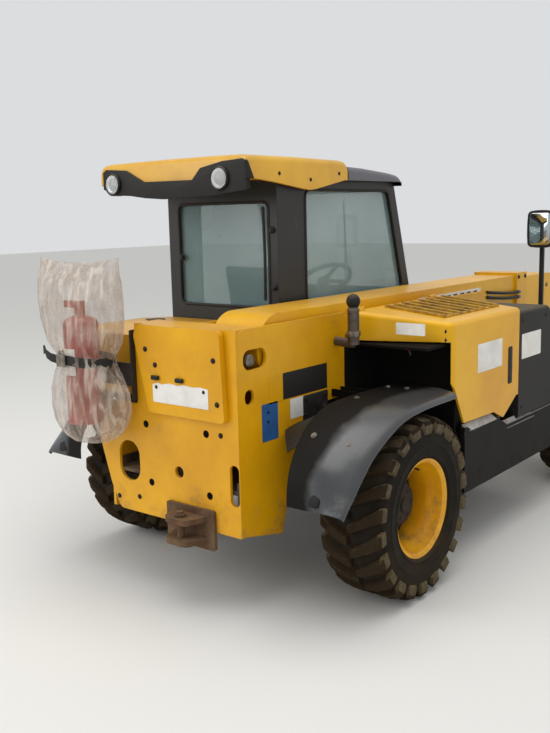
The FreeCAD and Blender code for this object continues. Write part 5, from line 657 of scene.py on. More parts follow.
def wheel(corner, along, side):
    """Tyre, tread, rim and hub of one wheel. side is 1 on the left and -1 on the right."""
    body = f"wheel_{corner}"
    centre = at(along, WHEEL_Y * side, WHEEL_Z)
    half = [(0.2105, 0.1185), (0.212, 0.122), (0.222, 0.1265), (0.232, 0.136), (0.236, 0.1415), (0.241, 0.1415),
            (0.246, 0.1385), (0.262, 0.1425), (0.285, 0.1465), (0.288, 0.1485), (0.293, 0.1485), (0.296, 0.1465),
            (0.325, 0.1455), (0.350, 0.1405), (0.370, 0.1280), (0.381, 0.1100), (0.3860, 0.080), (0.3885, 0.040),
            (0.3890, 0.0)]
    profile = half + [(r, -a) for r, a in reversed(half[:-1])] + [(0.209, -0.108), (0.209, 0.0), (0.209, 0.108)]
    tyre = turned(f"tyre_{corner}_carcass", profile, centre, (0, 1, 0), steps=108)
    settle(tyre, sidewall_rubber, body, (f"tyre_{corner}",), angle=40)
    for row, (way, start) in enumerate(((1, 0.0), (-1, math.tau / LUGS / 2))):
        piece = lug(f"tread_{corner}_{row}", way)
        mend(piece.data)
        piece = grown(piece, ring_nodes, tyre_rubber, body, "tyre_rubber", Count=LUGS, Start=start,
                      Centre=tuple(centre))
        piece.data.materials.append(scuffed_rubber)
        for face in piece.data.polygons:
            away = face.center - centre
            if abs(away.y) > 0.128 and Vector((away.x, away.z)).length < 0.372:
                face.material_index = 1
    out = Vector((0, side, 0))
    rim = [(0.2235, 0.131), (0.2195, 0.131), (0.214, 0.128), (0.210, 0.123), (0.2035, 0.118), (0.200, 0.095),
           (0.197, 0.075), (0.188, 0.055), (0.184, 0.030), (0.184, -0.040), (0.190, -0.060), (0.197, -0.085),
           (0.2035, -0.118), (0.2195, -0.131), (0.2235, -0.131), (0.2235, -0.126), (0.210, -0.119), (0.206, -0.090),
           (0.196, -0.060), (0.192, -0.040), (0.192, 0.030), (0.196, 0.055), (0.205, 0.080), (0.2085, 0.119),
           (0.216, 0.124), (0.2235, 0.1265)]
    settle(turned(f"rim_{corner}_barrel", rim, centre, out, steps=96), rim_enamel, body,
           (f"rim_{corner}",))
    disc = [(0.188, -0.046), (0.178, -0.040), (0.165, -0.038), (0.150, -0.046), (0.105, -0.048), (0.105, -0.062),
            (0.150, -0.060), (0.168, -0.052), (0.188, -0.060)]
    # The disc takes the hub's near-black: mud, and painted shade deep inside the rim.
    settle(turned(f"rim_{corner}_disc", disc, centre, out, steps=72), hub_iron, body)
    hub = [(0.0, 0.046), (0.030, 0.046), (0.034, 0.043), (0.036, 0.036), (0.078, 0.034), (0.088, 0.030), (0.098, 0.018),
           (0.104, 0.0), (0.106, -0.030), (0.112, -0.034), (0.119, -0.040), (0.119, -0.052), (0.0, -0.052)]
    settle(turned(f"hub_{corner}", hub, centre, out, steps=64, ring=False), hub_iron, body)
    facing = left_of if side > 0 else right_of
    bolts(f"wheel_nuts_{corner}", facing(WHEEL_Y * side - 0.047 * side), circle_of(along, WHEEL_Z, NUT_CIRCLE, 10, 0.5),
          0.0115, 0.020, hub_iron, body, "engine_iron")
    bolts(f"hub_bolts_{corner}", facing(WHEEL_Y * side + 0.0335 * side), circle_of(along, WHEEL_Z, HUB_CIRCLE, 6),
          0.006, 0.006, hub_iron, body, "engine_iron")
    edge = ((-0.065, 0.150), (0.025, 0.150), (0.016, 0.186), (-0.056, 0.186))
    tab = lofted(f"rim_tab_{corner}", [[centre + Vector((x, y * side, z)) for x, z in edge] for y in (-0.036, 0.012)])
    settle(tab, rim_enamel, body)
    valve = [centre + Vector((0, y * side, z)) for y, z in ((0.06, 0.186), (0.085, 0.176), (0.112, 0.174))]
    pipe(f"valve_{corner}", valve, 0.0042, gasket_rubber, body, smooth=True)


for corner, along, side in CORNERS:
    wheel(corner, along, side)

# Fenders


def between(x, marks):
    """The height at x along a line of (x, height) marks."""
    for (low_x, low_z), (high_x, high_z) in zip(marks, marks[1:]):
        if x <= high_x:
            return low_z + (high_z - low_z) * (x - low_x) / (high_x - low_x)
    return marks[-1][1]


def threaded(marks, count):
    """Evenly spaced points on a smooth line through the marks."""
    line = []
    ends = [marks[0]] + marks + [marks[-1]]
    for k in range(len(marks) - 1):
        a, b, c, d = (Vector(p) for p in ends[k:k + 4])
        for t in [step / 16 for step in range(16)]:
            square = (2 * a - 5 * b + 4 * c - d) * t ** 2
            line.append(0.5 * (2 * b + (c - a) * t + square + (3 * b - 3 * c + d - a) * t ** 3))
    line.append(Vector(marks[-1]))
    gone = [0.0]
    for here, there in zip(line, line[1:]):
        gone.append(gone[-1] + (there - here).length)
    spaced, k = [], 0
    for want in [gone[-1] * step / (count - 1) for step in range(count)]:
        while k < len(line) - 2 and gone[k + 1] < want:
            k += 1
        spaced.append(line[k].lerp(line[k + 1], (want - gone[k]) / (gone[k + 1] - gone[k])))
    return spaced


FENDER_SIDE = 0.905  # the outer edge's distance from the middle


def fender(name, along, side, stands_for=()):
    """A moulded fender: flat along the wheel's inner half, falling to a rolled outer lip."""
    inner = threaded([(-0.645, 0.553), (-0.641, 0.620), (-0.612, 0.700), (-0.555, 0.765), (-0.475, 0.822),
                      (-0.370, 0.868), (-0.260, 0.893), (-0.120, 0.9003), (0.100, 0.9003), (0.300, 0.9003)], 64)
    outer = threaded([(-0.645, 0.553), (-0.618, 0.582), (-0.568, 0.628), (-0.501, 0.692), (-0.406, 0.766),
                      (-0.253, 0.839), (-0.132, 0.871), (0.039, 0.885), (0.222, 0.886), (0.300, 0.885)], 64)
    span = [(0.0, 0.0), (0.04, 0.0), (0.18, 0.01), (0.32, 0.05), (0.44, 0.12), (0.55, 0.23), (0.65, 0.37),
            (0.74, 0.53), (0.82, 0.69), (0.89, 0.84), (0.948, 0.96)]
    lip = [(0.897, -0.004), (0.903, -0.011), (0.905, -0.019), (0.904, -0.026), (0.899, -0.028)]
    rings = []
    for k in range(len(inner)):
        run = (outer[min(k + 1, 63)] - outer[max(k - 1, 0)]).normalized()
        out = Vector((-run.y, run.x))
        edge = between(inner[k].x, [(-0.645, 0.640), (-0.480, 0.603), (-0.260, 0.570), (0.300, 0.565)])
        ring = []
        for part, fall in span:
            spot = inner[k].lerp(outer[k], fall) + out * 0.006 * math.sin(math.pi * fall)
            ring.append(at(along + spot.x, (edge + (FENDER_SIDE - edge) * part) * side, spot.y))
        for y, lift in lip:
            ring.append(at(along + outer[k].x + out.x * lift, y * side, outer[k].y + out.y * lift))
        rings.append(ring)
    thing = lofted(name, rings, around=False, capped=False)
    mend(thing.data, 60)
    if thing.data.polygons[len(thing.data.polygons) // 2].normal.z < 0:
        thing.data.flip_normals()
    wall = thing.modifiers.new("wall", "SOLIDIFY")
    wall.thickness = 0.0045
    wall.offset = -1
    settle(thing, fender_plastic, "chassis", stands_for, angle=70)


def fender_arm(name, low_x, low_z, side):
    """A pressed bracket from the body to a fender, with its flange and two bolts."""
    outline = [(low_x, low_z), (low_x + 0.08, low_z), (low_x + 0.08, low_z + 0.034), (low_x + 0.074, low_z + 0.034),
               (low_x + 0.074, low_z + 0.006), (low_x + 0.006, low_z + 0.006), (low_x + 0.006, low_z + 0.034),
               (low_x, low_z + 0.034)]
    rings = [[at(x, y * side, z) for x, z in outline] for y in (0.4004, 0.589)]
    settle(lofted(name, rings), bay_black, "chassis")
    bolts(f"{name}_bolts", above(low_z + 0.006), [(low_x + 0.04, 0.43 * side), (low_x + 0.04, 0.56 * side)], 0.008,
          0.006, black_bolt, "chassis", "black_enamel")


fender("fender_rear_right", 0.0, -1, ("rear_fenders",))
fender("fender_rear_left", 0.0, 1)
fender("fender_front_right", FRONT, -1, ("front_fenders",))
fender("fender_front_left", FRONT, 1)
fender_arm("arm_rear_left", -0.520, 0.772, 1)
fender_arm("arm_top_right", 0.020, 0.8655, -1)
curtain = []
for x, z in threaded([(-0.535, 0.772), (-0.465, 0.818), (-0.370, 0.862), (-0.260, 0.886), (-0.120, 0.893),
                      (0.010, 0.893)], 32):
    wall = between(x, [(-0.535, 0.560), (-0.440, 0.480), (-0.340, 0.4015), (0.010, 0.4015)])
    drop = between(x, [(-0.535, 0.030), (-0.440, 0.055), (-0.340, 0.095), (0.010, 0.100)])
    curtain.append([at(x, -(wall + (0.606 - wall) * t), z - drop * fall)
                    for t, fall in ((0.0, 1.0), (0.2, 0.86), (0.5, 0.5), (0.8, 0.16), (1.0, 0.05))])
curtain = lofted("splash_curtain", curtain, around=False, capped=False)
mend(curtain.data, 60)
curtain.modifiers.new("wall", "SOLIDIFY").thickness = 0.003
settle(curtain, dull_plastic, "chassis")
for corner, along, side in CORNERS:
    bolts(f"fender_bolts_{corner}", above(0.9005),
          [(along + 0.19, 0.605 * side), (along + 0.20, 0.70 * side), (along - 0.10, 0.62 * side)], 0.010, 0.007,
          zinc_steel, "chassis", "black_moulding", 20)
    slope = lambda a, b, out=0.0: at(along + a - 0.69 * out, b, 0.822 + (a + 0.480) * 0.93 + 0.74 * out)
    bolts(f"fender_rivets_{corner}", slope, [(-0.485, 0.665 * side)], 0.010, 0.007, zinc_steel, "chassis",
          "black_moulding", 20)
    fall = lambda a, b, out=0.0: at(along + a - 0.69 * out, b, 0.783 + (a + 0.465) * 0.93 + 0.74 * out)
    bolts(f"fender_screw_{corner}", fall, [(-0.458, 0.812 * side)], 0.010, 0.007, zinc_steel, "chassis",
          "black_moulding", 20)
    # Each fender's tail recess is drawn as a flat plate of painted shade.
    tail_face = lambda a, b, out=0.0: at(along - 0.6435 + (b - 0.560) * 0.35 - 0.94 * out, a, b + 0.33 * out)
    flat(f"fender_recess_painted_shade_{corner}", rounded([(0.742 * side, 0.574), (0.796 * side, 0.569), (0.800 * side, 0.606),
                                             (0.764 * side, 0.622)], 0.016), tail_face, 0.0015, dull_plastic,
         "chassis", "black_moulding", 0.0006, seat=0.0115)


# Bottle bag

BAG = [  # height, middle across, half across, half deep, squareness
    (0.700, 0.410, 0.020, 0.016, 2.0), (0.708, 0.408, 0.090, 0.050, 2.1), (0.740, 0.404, 0.165, 0.078, 2.3),
    (0.800, 0.398, 0.212, 0.094, 2.4), (0.870, 0.392, 0.232, 0.100, 2.4), (0.950, 0.394, 0.226, 0.098, 2.3),
    (1.020, 0.398, 0.190, 0.094, 2.2), (1.062, 0.402, 0.158, 0.090, 2.1), (1.088, 0.402, 0.150, 0.088, 2.1),
    (1.116, 0.404, 0.162, 0.090, 2.1), (1.170, 0.410, 0.212, 0.098, 2.2), (1.260, 0.418, 0.244, 0.100, 2.3),
    (1.360, 0.424, 0.256, 0.096, 2.4), (1.440, 0.425, 0.262, 0.078, 2.3), (1.500, 0.424, 0.266, 0.044, 2.1),
    (1.534, 0.422, 0.272, 0.014, 2.0)]
BAG_X = -0.763
STRAP_Z = 1.088


def bag_size(z):
    """The bag's sizes at a height, between the listed ones."""
    for low, high in zip(BAG, BAG[1:]):
        if z <= high[0]:
            t = (z - low[0]) / (high[0] - low[0])
            return [a + (b - a) * t for a, b in zip(low[1:], high[1:])]
    return BAG[-1][1:]


def bag_ring(z, proud=0.0, creased=1.0, steps=128):
    """The bag's outline at a height, creased and drawn in under the strap."""
    mid, wide, deep, square = bag_size(z)
    ring = []
    for k in range(steps):
        angle = math.tau * k / steps
        c, s = math.cos(angle), math.sin(angle)
        a = math.copysign(abs(c) ** (2 / square), c)
        b = math.copysign(abs(s) ** (2 / square), s)
        grip = math.exp(-((z - STRAP_Z) / 0.075) ** 2)
        fold = noise.noise(Vector((c * 4.2, s * 4.2, z * 3.1))) * 0.013
        fold += abs(noise.noise(Vector((c * 9, s * 9, z * 4.5 + 7)))) * 0.012
        fold += math.sin(angle * 17 + 3 * noise.noise(Vector((c * 2, s * 2, z * 9)))) * 0.0045 * grip
        fold = fold * creased * min(1.0, deep / 0.06) + proud
        lift = 0.024 * abs(a) ** 3 * max(0.0, (z - 1.44) / 0.094) - 0.012 * max(0.0, (z - 1.44) / 0.094)
        sag = noise.noise(Vector((c * 2.5, s * 2.5, 3.3))) * 0.010 * creased
        ring.append(at(BAG_X + (deep + fold) * b, mid + (wide + fold) * a, z + lift + (sag if 0.76 < z < 1.5 else 0.0)))
    return ring


bag_foot, bag_top = BAG[0][0], BAG[-1][0]
levels = [bag_foot + (bag_top - bag_foot) * k / 96 for k in range(97)]
bag = lofted("bottle_bag", [bag_ring(z) for z in levels])
mend(bag.data, 80)
settle(bag, film, "chassis", ("extinguisher_bag",), angle=80)
band = [[], [], [], []]
for z, proud, row in ((1.066, 0.001, 0), (1.066, 0.0045, 1), (1.110, 0.0045, 2), (1.110, 0.001, 3)):
    band[row] = bag_ring(STRAP_Z, proud, 0.35, 96)
    for point in band[row]:
        point.z = z + (point.y - 0.40) * 0.05
strap = lofted("bag_strap", [list(four) for four in zip(*band)] + [[r[0] for r in band]], capped=False)
settle(strap, strap_webbing, "chassis")
tail = [(-0.815, 0.548, 1.080), (-0.822, 0.585, 1.088), (-0.815, 0.625, 1.100), (-0.800, 0.655, 1.118),
        (-0.796, 0.672, 1.112)]
rings = [[at(x, y, z - 0.02), at(x - 0.0015, y, z - 0.02), at(x - 0.0015, y, z + 0.02),
          at(x, y, z + 0.02)] for x, y, z in tail]
settle(lofted("strap_tail", rings), strap_webbing, "chassis")
flat("strap_buckle", rounded(box_of(0.430, 0.490, 1.060, 1.116), 0.008), behind(-0.8585), 0.008, zinc_steel, "chassis",
     "black_enamel", 0.002)
low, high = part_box("extinguisher")
mid_y, mid_x = (low.y + high.y) / 2 - 0.01, (low.x + high.x) / 2
label = []
for z in (1.02, 1.14):
    turns = [0.9 * (k / 10 - 0.5) for k in range(11)]
    label.append([Vector((mid_x - 0.0815 * math.cos(t), mid_y + 0.0815 * math.sin(t), z)) for t in turns])
sticker = lofted("bottle_label", label, around=False, capped=False)
mend(sticker.data)
sticker.modifiers.new("wall", "SOLIDIFY").thickness = 0.0006
settle(sticker, white_vinyl, "chassis")

# Rear face

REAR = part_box("rear_body")[0].x - AXLE
panel_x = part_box("rear_panel")[0].x - AXLE
torn = [(-0.265, 0.912), (0.066, 0.912), (0.066, 0.992), (0.030, 1.000), (0.012, 0.994), (-0.040, 1.003),
        (-0.086, 0.997), (-0.120, 1.004), (-0.180, 0.999), (-0.222, 1.004), (-0.265, 0.998)]
flat("blank_plate", rounded(torn, 0.006), behind(panel_x), 0.0016, white_vinyl, "chassis", "yellow_enamel", 0.0005)
bolts("plate_screws", behind(panel_x - 0.0018), [(-0.240, 0.985), (0.042, 0.980)], 0.006, 0.003, black_bolt, "chassis",
      "black_enamel", 20)
bolts("panel_bolts", behind(panel_x), [(0.104, 1.143), (-0.313, 0.939), (-0.299, 1.123), (0.046, 1.077)], 0.009, 0.006,
      black_bolt, "chassis", "black_enamel")
for k, y in enumerate((0.043, -0.104)):
    flat(f"plate_lamp_{k}", rounded(box_of(y - 0.022, y + 0.022, 1.012, 1.032), 0.006), behind(panel_x), 0.014,
         black_moulding, "chassis", "black_moulding", 0.004)
hollows("rear_holes", behind(REAR), [(0.154, 0.793), (-0.216, 0.796), (0.134, 0.524), (-0.225, 0.523)], 0.0125,
        "chassis")
bolts("rear_plate_bolts", behind(REAR), [(0.36, 0.42), (0.30, 0.80), (-0.30, 0.80), (0.22, 0.44)], 0.009, 0.006,
      black_bolt, "chassis", "black_enamel")

# Side wall

flank = right_of(-0.400)
flat("black_band", rounded(box_of(-0.347, -0.016, 0.912, 1.030), 0.004), flank, 0.0007, black_vinyl, "chassis",
     "black_enamel")
flat("yellow_square", rounded(box_of(-0.449, -0.349, 0.908, 1.024), 0.004), flank, 0.0007, hood_enamel_painted_light, "chassis",
     "yellow_enamel")
flat("blue_patch", rounded(box_of(-0.497, -0.387, 0.750, 0.915), 0.006), flank, 0.0007, blue_vinyl, "chassis",
     "black_enamel")
flat("white_patch", rounded(box_of(-0.299, -0.203, 0.815, 0.905), 0.006), flank, 0.0007, white_vinyl, "chassis",
     "black_enamel")
flat("pivot_cover", rounded(box_of(-0.205, -0.015, 0.795, 0.905), 0.012), flank, 0.004, frame_enamel, "chassis",
     "black_enamel", 0.0015)
# A near-black sheet on the side wall: painted shade of the engine bay, where no part stands.
flat("bay_side_painted_shade", box_of(0.128, 0.4690, 0.790, 1.098), flank, 0.0012, bay_black, "chassis", "black_enamel")
bolts("pivot_cover_bolts", right_of(-0.404), [(-0.185, 0.885), (-0.035, 0.885), (-0.185, 0.815), (-0.035, 0.815)],
      0.007, 0.005, black_bolt, "chassis", "black_enamel")
hollows("side_dots", flank, [(-0.454, 0.875), (-0.456, 0.834)], 0.007, "chassis")
pin = [(0.0, 0.010), (0.020, 0.010), (0.026, 0.006), (0.028, 0.0), (0.028, -0.03), (0.0, -0.03)]
settle(turned("tower_pin", pin, at(-0.560, -0.392, 1.115), (0, -1, 0), 32, ring=False), zinc_steel, "chassis")

# Cab

rear_window = rounded(box_of(0.004, 0.616, 1.255, 1.775), 0.037)
cab_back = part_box("cab_frame")[0].x - AXLE
pipe("rear_gasket", frame_of(behind(cab_back + 0.001), rear_window), 0.008, gasket_rubber, "chassis",
     loop=True)
pipe("rear_wiper_arm", [behind(cab_back - 0.012)(a, b) for a, b in ((0.026, 1.295), (0.022, 1.52), (0.028, 1.750))],
     0.0075, gasket_rubber, "chassis")
bolts("rear_window_knobs", behind(cab_back - 0.002), [(-0.017, 1.639), (-0.027, 1.361), (0.596, 1.502)], 0.013, 0.018,
      gasket_rubber, "chassis", "black_moulding", 20)


SCREEN_FOOT, SCREEN_TOP = (1.350, 1.240), (1.160, 1.880)  # (x, z) of the slanted front window


def front_at(z):
    """How far ahead the front window is at a height."""
    return between(z, [(SCREEN_FOOT[1], SCREEN_FOOT[0]), (SCREEN_TOP[1], SCREEN_TOP[0])])


SIDE_FOOT, SIDE_TOP, PILLAR = 1.265, 1.832, 0.075
side_window = rounded([(0.309, SIDE_FOOT), (front_at(SIDE_FOOT) - PILLAR, SIDE_FOOT),
                       (front_at(SIDE_TOP) - PILLAR, SIDE_TOP), (0.309, SIDE_TOP)], 0.045)
cab_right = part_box("cab_frame")[0].y
pipe("right_gasket", frame_of(right_of(cab_right + 0.001), side_window), 0.0075, gasket_rubber, "chassis",
     loop=True)

# Roof


ROOF_RIGHT, ROOF_LEFT = -0.094, 0.890
ROOF_TOP = [(-0.200, 1.962), (-0.197, 1.974), (-0.190, 1.982), (-0.178, 1.987), (-0.150, 1.990), (0.200, 1.991),
            (0.560, 1.987), (0.600, 1.984), (0.612, 1.980), (0.620, 1.972), (0.626, 1.962), (0.640, 1.958),
            (0.80, 1.952), (1.05, 1.934), (1.130, 1.925), (1.160, 1.915), (1.174, 1.903), (1.180, 1.893)]
ROOF_FOOT = [(-0.200, 1.879), (-0.146, 1.879), (0.015, 1.864), (0.211, 1.838), (0.293, 1.829), (0.340, 1.833),
             (0.603, 1.881), (1.180, 1.881)]
rings = []
for x in sorted({x for x, _ in ROOF_TOP + ROOF_FOOT}):
    top, foot = between(x, ROOF_TOP), between(x, ROOF_FOOT)
    side_line = [(ROOF_RIGHT, foot), (ROOF_RIGHT, top - 0.034), (-0.091, top - 0.020), (-0.083, top - 0.010),
                 (-0.068, top - 0.004), (-0.030, top)]
    rest = [(0.15, top + 0.002), (0.398, top + 0.003), (0.646, top + 0.002), (0.826, top), (0.864, top - 0.004),
            (0.879, top - 0.010), (0.887, top - 0.020), (ROOF_LEFT, top - 0.034), (ROOF_LEFT, foot), (0.872, foot),
            (0.872, 1.8815), (-0.076, 1.8815), (-0.076, foot)]
    rings.append([at(x, y, z) for y, z in side_line + rest])
settle(lofted("roof_shell", rings), roof_gel_coat, "chassis", ("cab_roof",), angle=30)
fascia = [(0.866, 1.862), (0.866, 1.945), (0.843, 1.961, 0.02), (0.690, 1.950, 0.03), (0.563, 1.888, 0.03),
          (0.233, 1.884, 0.02), (0.178, 1.937, 0.02), (0.038, 1.961, 0.03), (-0.084, 1.967, 0.008),
          (-0.104, 1.958, 0.01), (-0.104, 1.825), (0.100, 1.806, 0.05), (0.428, 1.799, 0.05), (0.555, 1.808, 0.05),
          (0.671, 1.823, 0.05), (0.792, 1.829, 0.03)]
flat("roof_fascia", rounded(fascia, 0.004), behind(-0.2003), 0.010, black_moulding, "chassis", "black_moulding", 0.004,
     seat=0.0)
under = [(0.862, 1.864), (0.862, 1.8805), (-0.074, 1.8805), (-0.074, 1.834), (0.428, 1.801), (0.555, 1.810),
         (0.671, 1.825), (0.790, 1.831)]
visor = lofted("roof_visor_box", [[at(x, y, z) for y, z in under] for x in (-0.2001, -0.144)])
settle(visor, black_moulding, "chassis", ("roof_visor",))
cheek = [(-0.2095, 1.957), (-0.199, 1.962), (-0.186, 1.955), (-0.148, 1.882), (-0.146, 1.878), (-0.2095, 1.878)]
flat("roof_fascia_cheek", cheek, right_of(ROOF_RIGHT), 0.0095, black_moulding, "chassis", "black_moulding", 0.003)
seam = [at(0.632, y, z) for y, z in [(-0.0945, 1.884), (-0.0945, 1.925), (-0.088, 1.946), (-0.068, 1.956),
                                     (0.398, 1.962), (0.864, 1.956), (0.884, 1.946), (0.8905, 1.925), (0.8905, 1.884)]]
pipe("roof_seam", seam, 0.003, gasket_rubber, "chassis", smooth=True)
bolts("roof_bolts", right_of(ROOF_RIGHT), [(0.05, 1.905), (0.30, 1.880), (0.55, 1.915)], 0.007, 0.004, black_bolt,
      "chassis", "yellow_enamel", 20)

# Roof lamps


def lamp(name, centre, way, radius):
    """Round lamp: rubber bezel, metallised bowl and domed lens."""
    bezel = [(radius, 0.0), (radius * 1.04, 0.006), (radius, 0.014), (radius * 0.92, 0.017), (radius * 0.86, 0.012),
             (radius * 0.86, 0.0)]
    settle(turned(f"{name}_bezel", bezel, centre, way, 48), gasket_rubber, "chassis")
    bowl = [(radius * 0.86, 0.010), (radius * 0.70, 0.004), (radius * 0.40, 0.0015), (0.0, 0.001), (0.0, 0.0),
            (radius * 0.86, 0.0)]
    settle(turned(f"{name}_bowl", bowl, centre, way, 48, ring=False), reflector, "chassis")
    lens = [(0.0, 0.022), (radius * 0.4, 0.0205), (radius * 0.7, 0.017), (radius * 0.88, 0.012),
            (radius * 0.88, 0.010), (0.0, 0.019)]
    settle(turned(f"{name}_lens", lens, centre, way, 48, ring=False), lamp_lens, "chassis")


for name, y in (("lamp_rear_right", 0.050), ("lamp_rear_left", 0.785)):
    lamp(name, at(-0.2105, y, 1.884), (-1, 0, 0), 0.054)
lamp_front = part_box("lamps")[1].x - AXLE
for name, y in (("lamp_front_right", -0.304), ("lamp_front_left", 0.304)):
    lamp(name, at(lamp_front + 0.0002, y, 0.600), (1, 0, 0), 0.050)

# Hood and engine bay

hood_side = right_of(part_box("hood")[0].y)
flat("hood_sticker", rounded(box_of(0.603, 0.880, 0.925, 1.067), 0.008), hood_side, 0.0007, white_vinyl, "hood",
     "yellow_enamel")
flat("band_sticker", rounded(box_of(-0.800, -0.648, 1.154, 1.209), 0.005), behind(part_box("hood")[0].x - AXLE), 0.0007,
     white_vinyl, "hood", "yellow_enamel")
flat("box_sticker", rounded(box_of(1.125, 1.380, 0.922, 1.056), 0.008), right_of(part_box("intake_box")[0].y), 0.0007,
     white_vinyl, "chassis", "black_moulding")
flat("latch_slot", rounded(box_of(0.955, 1.005, 0.815, 1.010), 0.012), hood_side, 0.0016, black_moulding, "hood",
     "black_moulding", 0.0006)
ex = at(0.060, -0.500, 0.0)
stack = [(0.0, 1.112), (0.027, 1.112), (0.027, 1.262), (0.0285, 1.266), (0.0285, 1.276), (0.024, 1.280),
         (0.024, 1.285), (0.0, 1.285)]
settle(turned("exhaust_pipe", stack, ex, (0, 0, 1), 40, ring=False), exhaust_steel, "chassis",
       ("exhaust_stub",))
dome = [math.pi * k / 12 for k in range(1, 11)]
ball = [(0.0, 1.3465)] + [(0.0325 * math.sin(t), 1.312 + 0.0345 * math.cos(t)) for t in dome]
ball += [(0.026, 1.279), (0.0, 1.279)]
settle(turned("exhaust_cap", ball, ex, (0, 0, 1), 36, ring=False), black_moulding, "chassis")
clamp = [(0.0275, 1.150), (0.0315, 1.150), (0.0330, 1.155), (0.0330, 1.170), (0.0315, 1.175), (0.0275, 1.175)]
settle(turned("exhaust_clamp", clamp, ex, (0, 0, 1), 36), zinc_steel, "chassis")
pipe("exhaust_elbow", [at(0.060, -0.500, 1.118), at(0.060, -0.475, 1.116), at(0.060, -0.404, 1.122)], 0.022,
     exhaust_steel, "chassis", smooth=True)

low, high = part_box("engine_bay_liner")
front_x = high.x - AXLE - 0.040
bend = rounded([(0.170, 1.100, 0), (front_x, 1.100, 0.030), (front_x + 0.040, low.z, 0), (front_x + 0.028, low.z, 0),
                (front_x - 0.012, 1.088, 0.024), (0.170, 1.088, 0)], 0.0)
settle(lofted("bay_liner_sheet", [[at(x, y, z) for x, z in bend] for y in (low.y, high.y)]), bay_black, "chassis",
       ("engine_bay_liner",))

# Boom

boom_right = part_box("outer_boom")[0].y
boom_side = right_of(boom_right + 0.016)
flat("boom_band", rounded(box_of(0.884, 1.640, 1.168, 1.250), 0.004), boom_side, 0.0007, white_vinyl, "outer_boom",
     "yellow_enamel")
for k in range(5):
    start = 1.18 + 0.085 * k
    flat(f"boom_stripe_{k}", [(start, 1.180), (start + 0.045, 1.180), (start + 0.075, 1.238), (start + 0.030, 1.238)],
         boom_side, 0.0005, black_vinyl, "outer_boom", "yellow_enamel", seat=0.001)

# Seat


def cushion(name, block, cap, welt_z, stands_for=()):
    """A padded cushion: a slightly small block, blown up as cloth, with a sewn welt round its face."""
    rings = []
    for z, low_x, high_x in block:
        rings.append([at(x, y, z) for x, y in rounded([(low_x, 0.178), (high_x, 0.178), (high_x, 0.622),
                                                       (low_x, 0.622)], 0.05)])
    thing = lofted(name, rings)
    mend(thing.data)
    skin = thing.modifiers.new("skin", "REMESH")
    skin.mode = "VOXEL"
    skin.voxel_size = 0.009
    bpy.context.view_layer.update()
    base = bpy.data.meshes.new_from_object(thing.evaluated_get(bpy.context.evaluated_depsgraph_get()))
    thing.modifiers.clear()
    thing.data = base
    cloth = thing.modifiers.new("cloth", "CLOTH")
    cloth.settings.use_pressure = True
    cloth.settings.uniform_pressure_force = 4.0
    cloth.settings.effector_weights.gravity = 0.0
    for step in range(1, 21):
        scene.frame_set(step)
    blown = bpy.data.meshes.new_from_object(thing.evaluated_get(bpy.context.evaluated_depsgraph_get()))
    for spot, aim in zip(base.vertices, blown.vertices):
        move = aim.co - spot.co
        spot.co += move * min(1.0, cap / max(move.length, 1e-9))
    thing.modifiers.clear()
    scene.frame_set(1)
    for spot in base.vertices:
        ease = noise.noise(spot.co * 7) * 0.0025
        spot.co += spot.normal * ease
    fine = thing.modifiers.new("fine", "SUBSURF")
    fine.levels = fine.render_levels = 1
    settle(thing, seat_cloth, "chassis", stands_for, angle=80)
    for k, (z, low_x, high_x) in enumerate(welt_z):
        loop = []
        for x, y in rounded([(low_x, 0.165), (high_x, 0.165), (high_x, 0.635), (low_x, 0.635)], 0.06, steps=8):
            _, spot, normal, _ = thing.closest_point_on_mesh(at(x, y, z))
            loop.append(spot + normal * 0.0005)
        pipe(f"{name}_welt_{k}", loop, 0.0042, strap_webbing, "chassis", loop=True)


cushion("seat_pad", [(0.903, 0.512, 0.948), (0.945, 0.506, 0.952), (0.990, 0.520, 0.942)], 0.010,
        [(0.978, 0.50, 0.96)], ("seat_cushions",))
cushion("back_pad", [(1.012, 0.474, 0.566), (1.15, 0.452, 0.552), (1.30, 0.430, 0.528), (1.40, 0.414, 0.508),
                     (1.438, 0.418, 0.494)], 0.010, [(1.23, 0.560, 0.561)])

# Mirrors, wipers and cab fittings

SOFT_SQUARE = []
for k in range(40):
    c, s = math.cos(math.tau * k / 40), math.sin(math.tau * k / 40)
    SOFT_SQUARE.append((math.copysign(abs(c) ** 0.5, c), math.copysign(abs(s) ** 0.5, s)))
MIRROR_SHELL = [  # distance behind the glass, half width, half height
    (-0.001, 0.077, 0.107), (0.020, 0.079, 0.109), (0.040, 0.068, 0.098), (0.052, 0.045, 0.070), (0.056, 0.012, 0.020)]
MIRROR_Z = 1.595
for name, x, y in (("mirror_right", 1.697, -0.710), ("mirror_left", 1.322, 0.885)):
    flat(name, rounded(box_of(y - 0.062, y + 0.062, MIRROR_Z - 0.092, MIRROR_Z + 0.092), 0.022), behind(x), 0.003,
         mirror_glass, "chassis", "black_moulding", 0.001)
    shell = [[at(x + depth, y + a * wide, MIRROR_Z + b * tall) for a, b in SOFT_SQUARE]
             for depth, wide, tall in MIRROR_SHELL]
    settle(lofted(f"{name}_shell", shell), black_moulding, "chassis", angle=60)
DOOR_SIDE = 0.8602
handle = [at(1.135, y, z) for y, z in ((DOOR_SIDE, 0.975), (0.892, 0.985), (0.900, 1.02), (0.900, 1.12),
                                       (0.892, 1.155), (DOOR_SIDE, 1.165))]
pipe("door_grab_bar", handle, 0.009, black_moulding, "door", smooth=True)
bolts("door_glass_bolts", left_of(DOOR_SIDE),
      [(0.455, 0.93), (0.455, 1.35), (0.455, 1.76), (1.16, 1.76), (1.205, 0.93)], 0.008, 0.004, black_bolt, "door",
      "black_enamel", 20)
